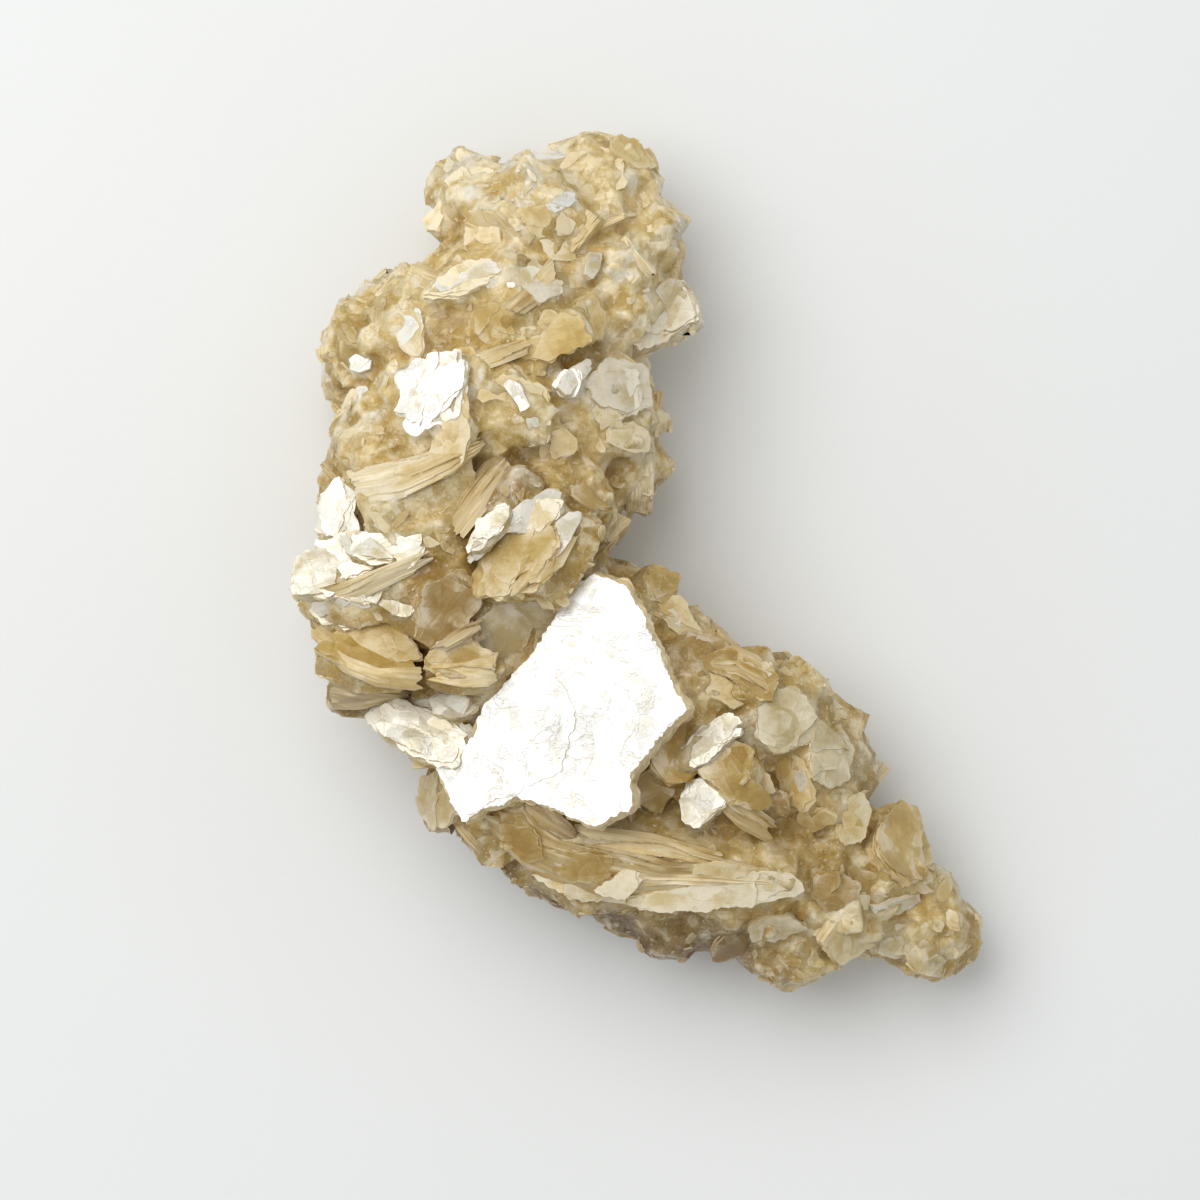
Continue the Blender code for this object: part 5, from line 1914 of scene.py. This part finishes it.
class MICA_OT_set_stage(bpy.types.Operator):
    """Set the floor, the light and the camera"""

    bl_idname = "mica.set_stage"
    bl_label = "Set Stage"

    def execute(self, context):
        stage = context.scene.mica_stage
        build_floor()
        build_sky(stage)
        build_soft_light(stage)
        build_camera(stage)
        context.scene.view_settings.view_transform = "Standard"
        return {"FINISHED"}


VIEW_CENTRE = Vector((-4.5, -5.4, 20.0)) * MM
VIEW_WIDTH = 0.150
SENSOR = 36.0
FLOOR_SIZE = 6.0
LIGHT_DISTANCE = 0.75
LIGHT_ANGLE = math.radians(26)  # half the angle that the light fills, seen from the cluster


def build_floor():
    half = FLOOR_SIZE / 2
    mesh = bpy.data.meshes.new("floor")
    corners = ((-half, -half, 0), (half, -half, 0), (half, half, 0), (-half, half, 0))
    mesh.from_pydata(corners, [], [(0, 1, 2, 3)])
    mesh.materials.append(floor_material())
    floor = link(mesh, "floor")
    floor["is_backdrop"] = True


def build_sky(stage):
    world = bpy.data.worlds.new("soft white sky")
    bpy.context.scene.world = world
    world.use_nodes = True
    background = world.node_tree.nodes["Background"]
    background.inputs["Color"].default_value = (0.97, 0.985, 1.0, 1)
    background.inputs["Strength"].default_value = stage.sky


def build_soft_light(stage):
    light = bpy.data.lights.new("soft light", "AREA")
    light.shape = "DISK"
    light.size = 2 * LIGHT_DISTANCE * math.tan(LIGHT_ANGLE)
    light.energy = stage.light_power
    light.color = (1.0, 0.99, 0.97)
    lamp = bpy.data.objects.new("soft light", light)
    bpy.context.scene.collection.objects.link(lamp)
    out = direction(math.degrees(stage.light_lean), math.degrees(stage.light_bearing))
    lamp.location = VIEW_CENTRE + out * LIGHT_DISTANCE
    lamp.rotation_euler = out.to_track_quat("Z", "Y").to_euler()


def build_camera(stage):
    data = bpy.data.cameras.new("camera")
    distance = stage.camera_height - VIEW_CENTRE.z
    data.sensor_width = SENSOR
    data.lens = SENSOR * distance / VIEW_WIDTH
    data.clip_end = 20
    camera = bpy.data.objects.new("camera", data)
    camera.location = (VIEW_CENTRE.x, VIEW_CENTRE.y, stage.camera_height)
    bpy.context.scene.collection.objects.link(camera)
    bpy.context.scene.camera = camera


class MICA_PT_panel(bpy.types.Panel):
    """Lists the steps that build the cluster"""

    bl_label = "Mica Cluster"
    bl_idname = "MICA_PT_panel"
    bl_space_type = "VIEW_3D"
    bl_region_type = "UI"
    bl_category = "Mica"

    def draw(self, context):
        for settings, operators in (
            ("mica_leaves", (
                MICA_OT_grow_mass, MICA_OT_grow_books, MICA_OT_grow_filling, MICA_OT_cleave_face,
                MICA_OT_lay_faces,
            )),
            ("mica_flakes", (MICA_OT_scatter_flakes,)),
            ("mica_finish", ()),
            ("mica_stage", (MICA_OT_set_stage,)),
        ):
            box = self.layout.box()
            group = getattr(context.scene, settings)
            for name in group.__annotations__:
                box.prop(group, name)
            for operator in operators:
                box.operator(operator.bl_idname)


SETTINGS = {
    "mica_leaves": MicaLeaves,
    "mica_flakes": MicaFlakes,
    "mica_finish": MicaFinish,
    "mica_stage": MicaStage,
}
CLASSES = (
    *SETTINGS.values(), MICA_OT_grow_mass, MICA_OT_grow_books, MICA_OT_grow_filling,
    MICA_OT_cleave_face, MICA_OT_lay_faces, MICA_OT_scatter_flakes, MICA_OT_set_stage,
    MICA_PT_panel,
)


def register():
    for cls in CLASSES:
        bpy.utils.register_class(cls)
    for name, group in SETTINGS.items():
        setattr(bpy.types.Scene, name, bpy.props.PointerProperty(type=group))


def unregister():
    for name in SETTINGS:
        delattr(bpy.types.Scene, name)
    for cls in reversed(CLASSES):
        bpy.utils.unregister_class(cls)


def main():
    register()
    bpy.ops.mica.grow_mass()
    bpy.ops.mica.grow_books()
    bpy.ops.mica.grow_filling()
    bpy.ops.mica.cleave_face()
    bpy.ops.mica.lay_faces()
    bpy.ops.mica.scatter_flakes()
    bpy.ops.mica.set_stage()
    sizes = {name: [list(corner) for corner in box] for name, box in (("cad", CAD_BOX), ("visual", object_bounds()))}


if __name__ == "__main__":
    main()
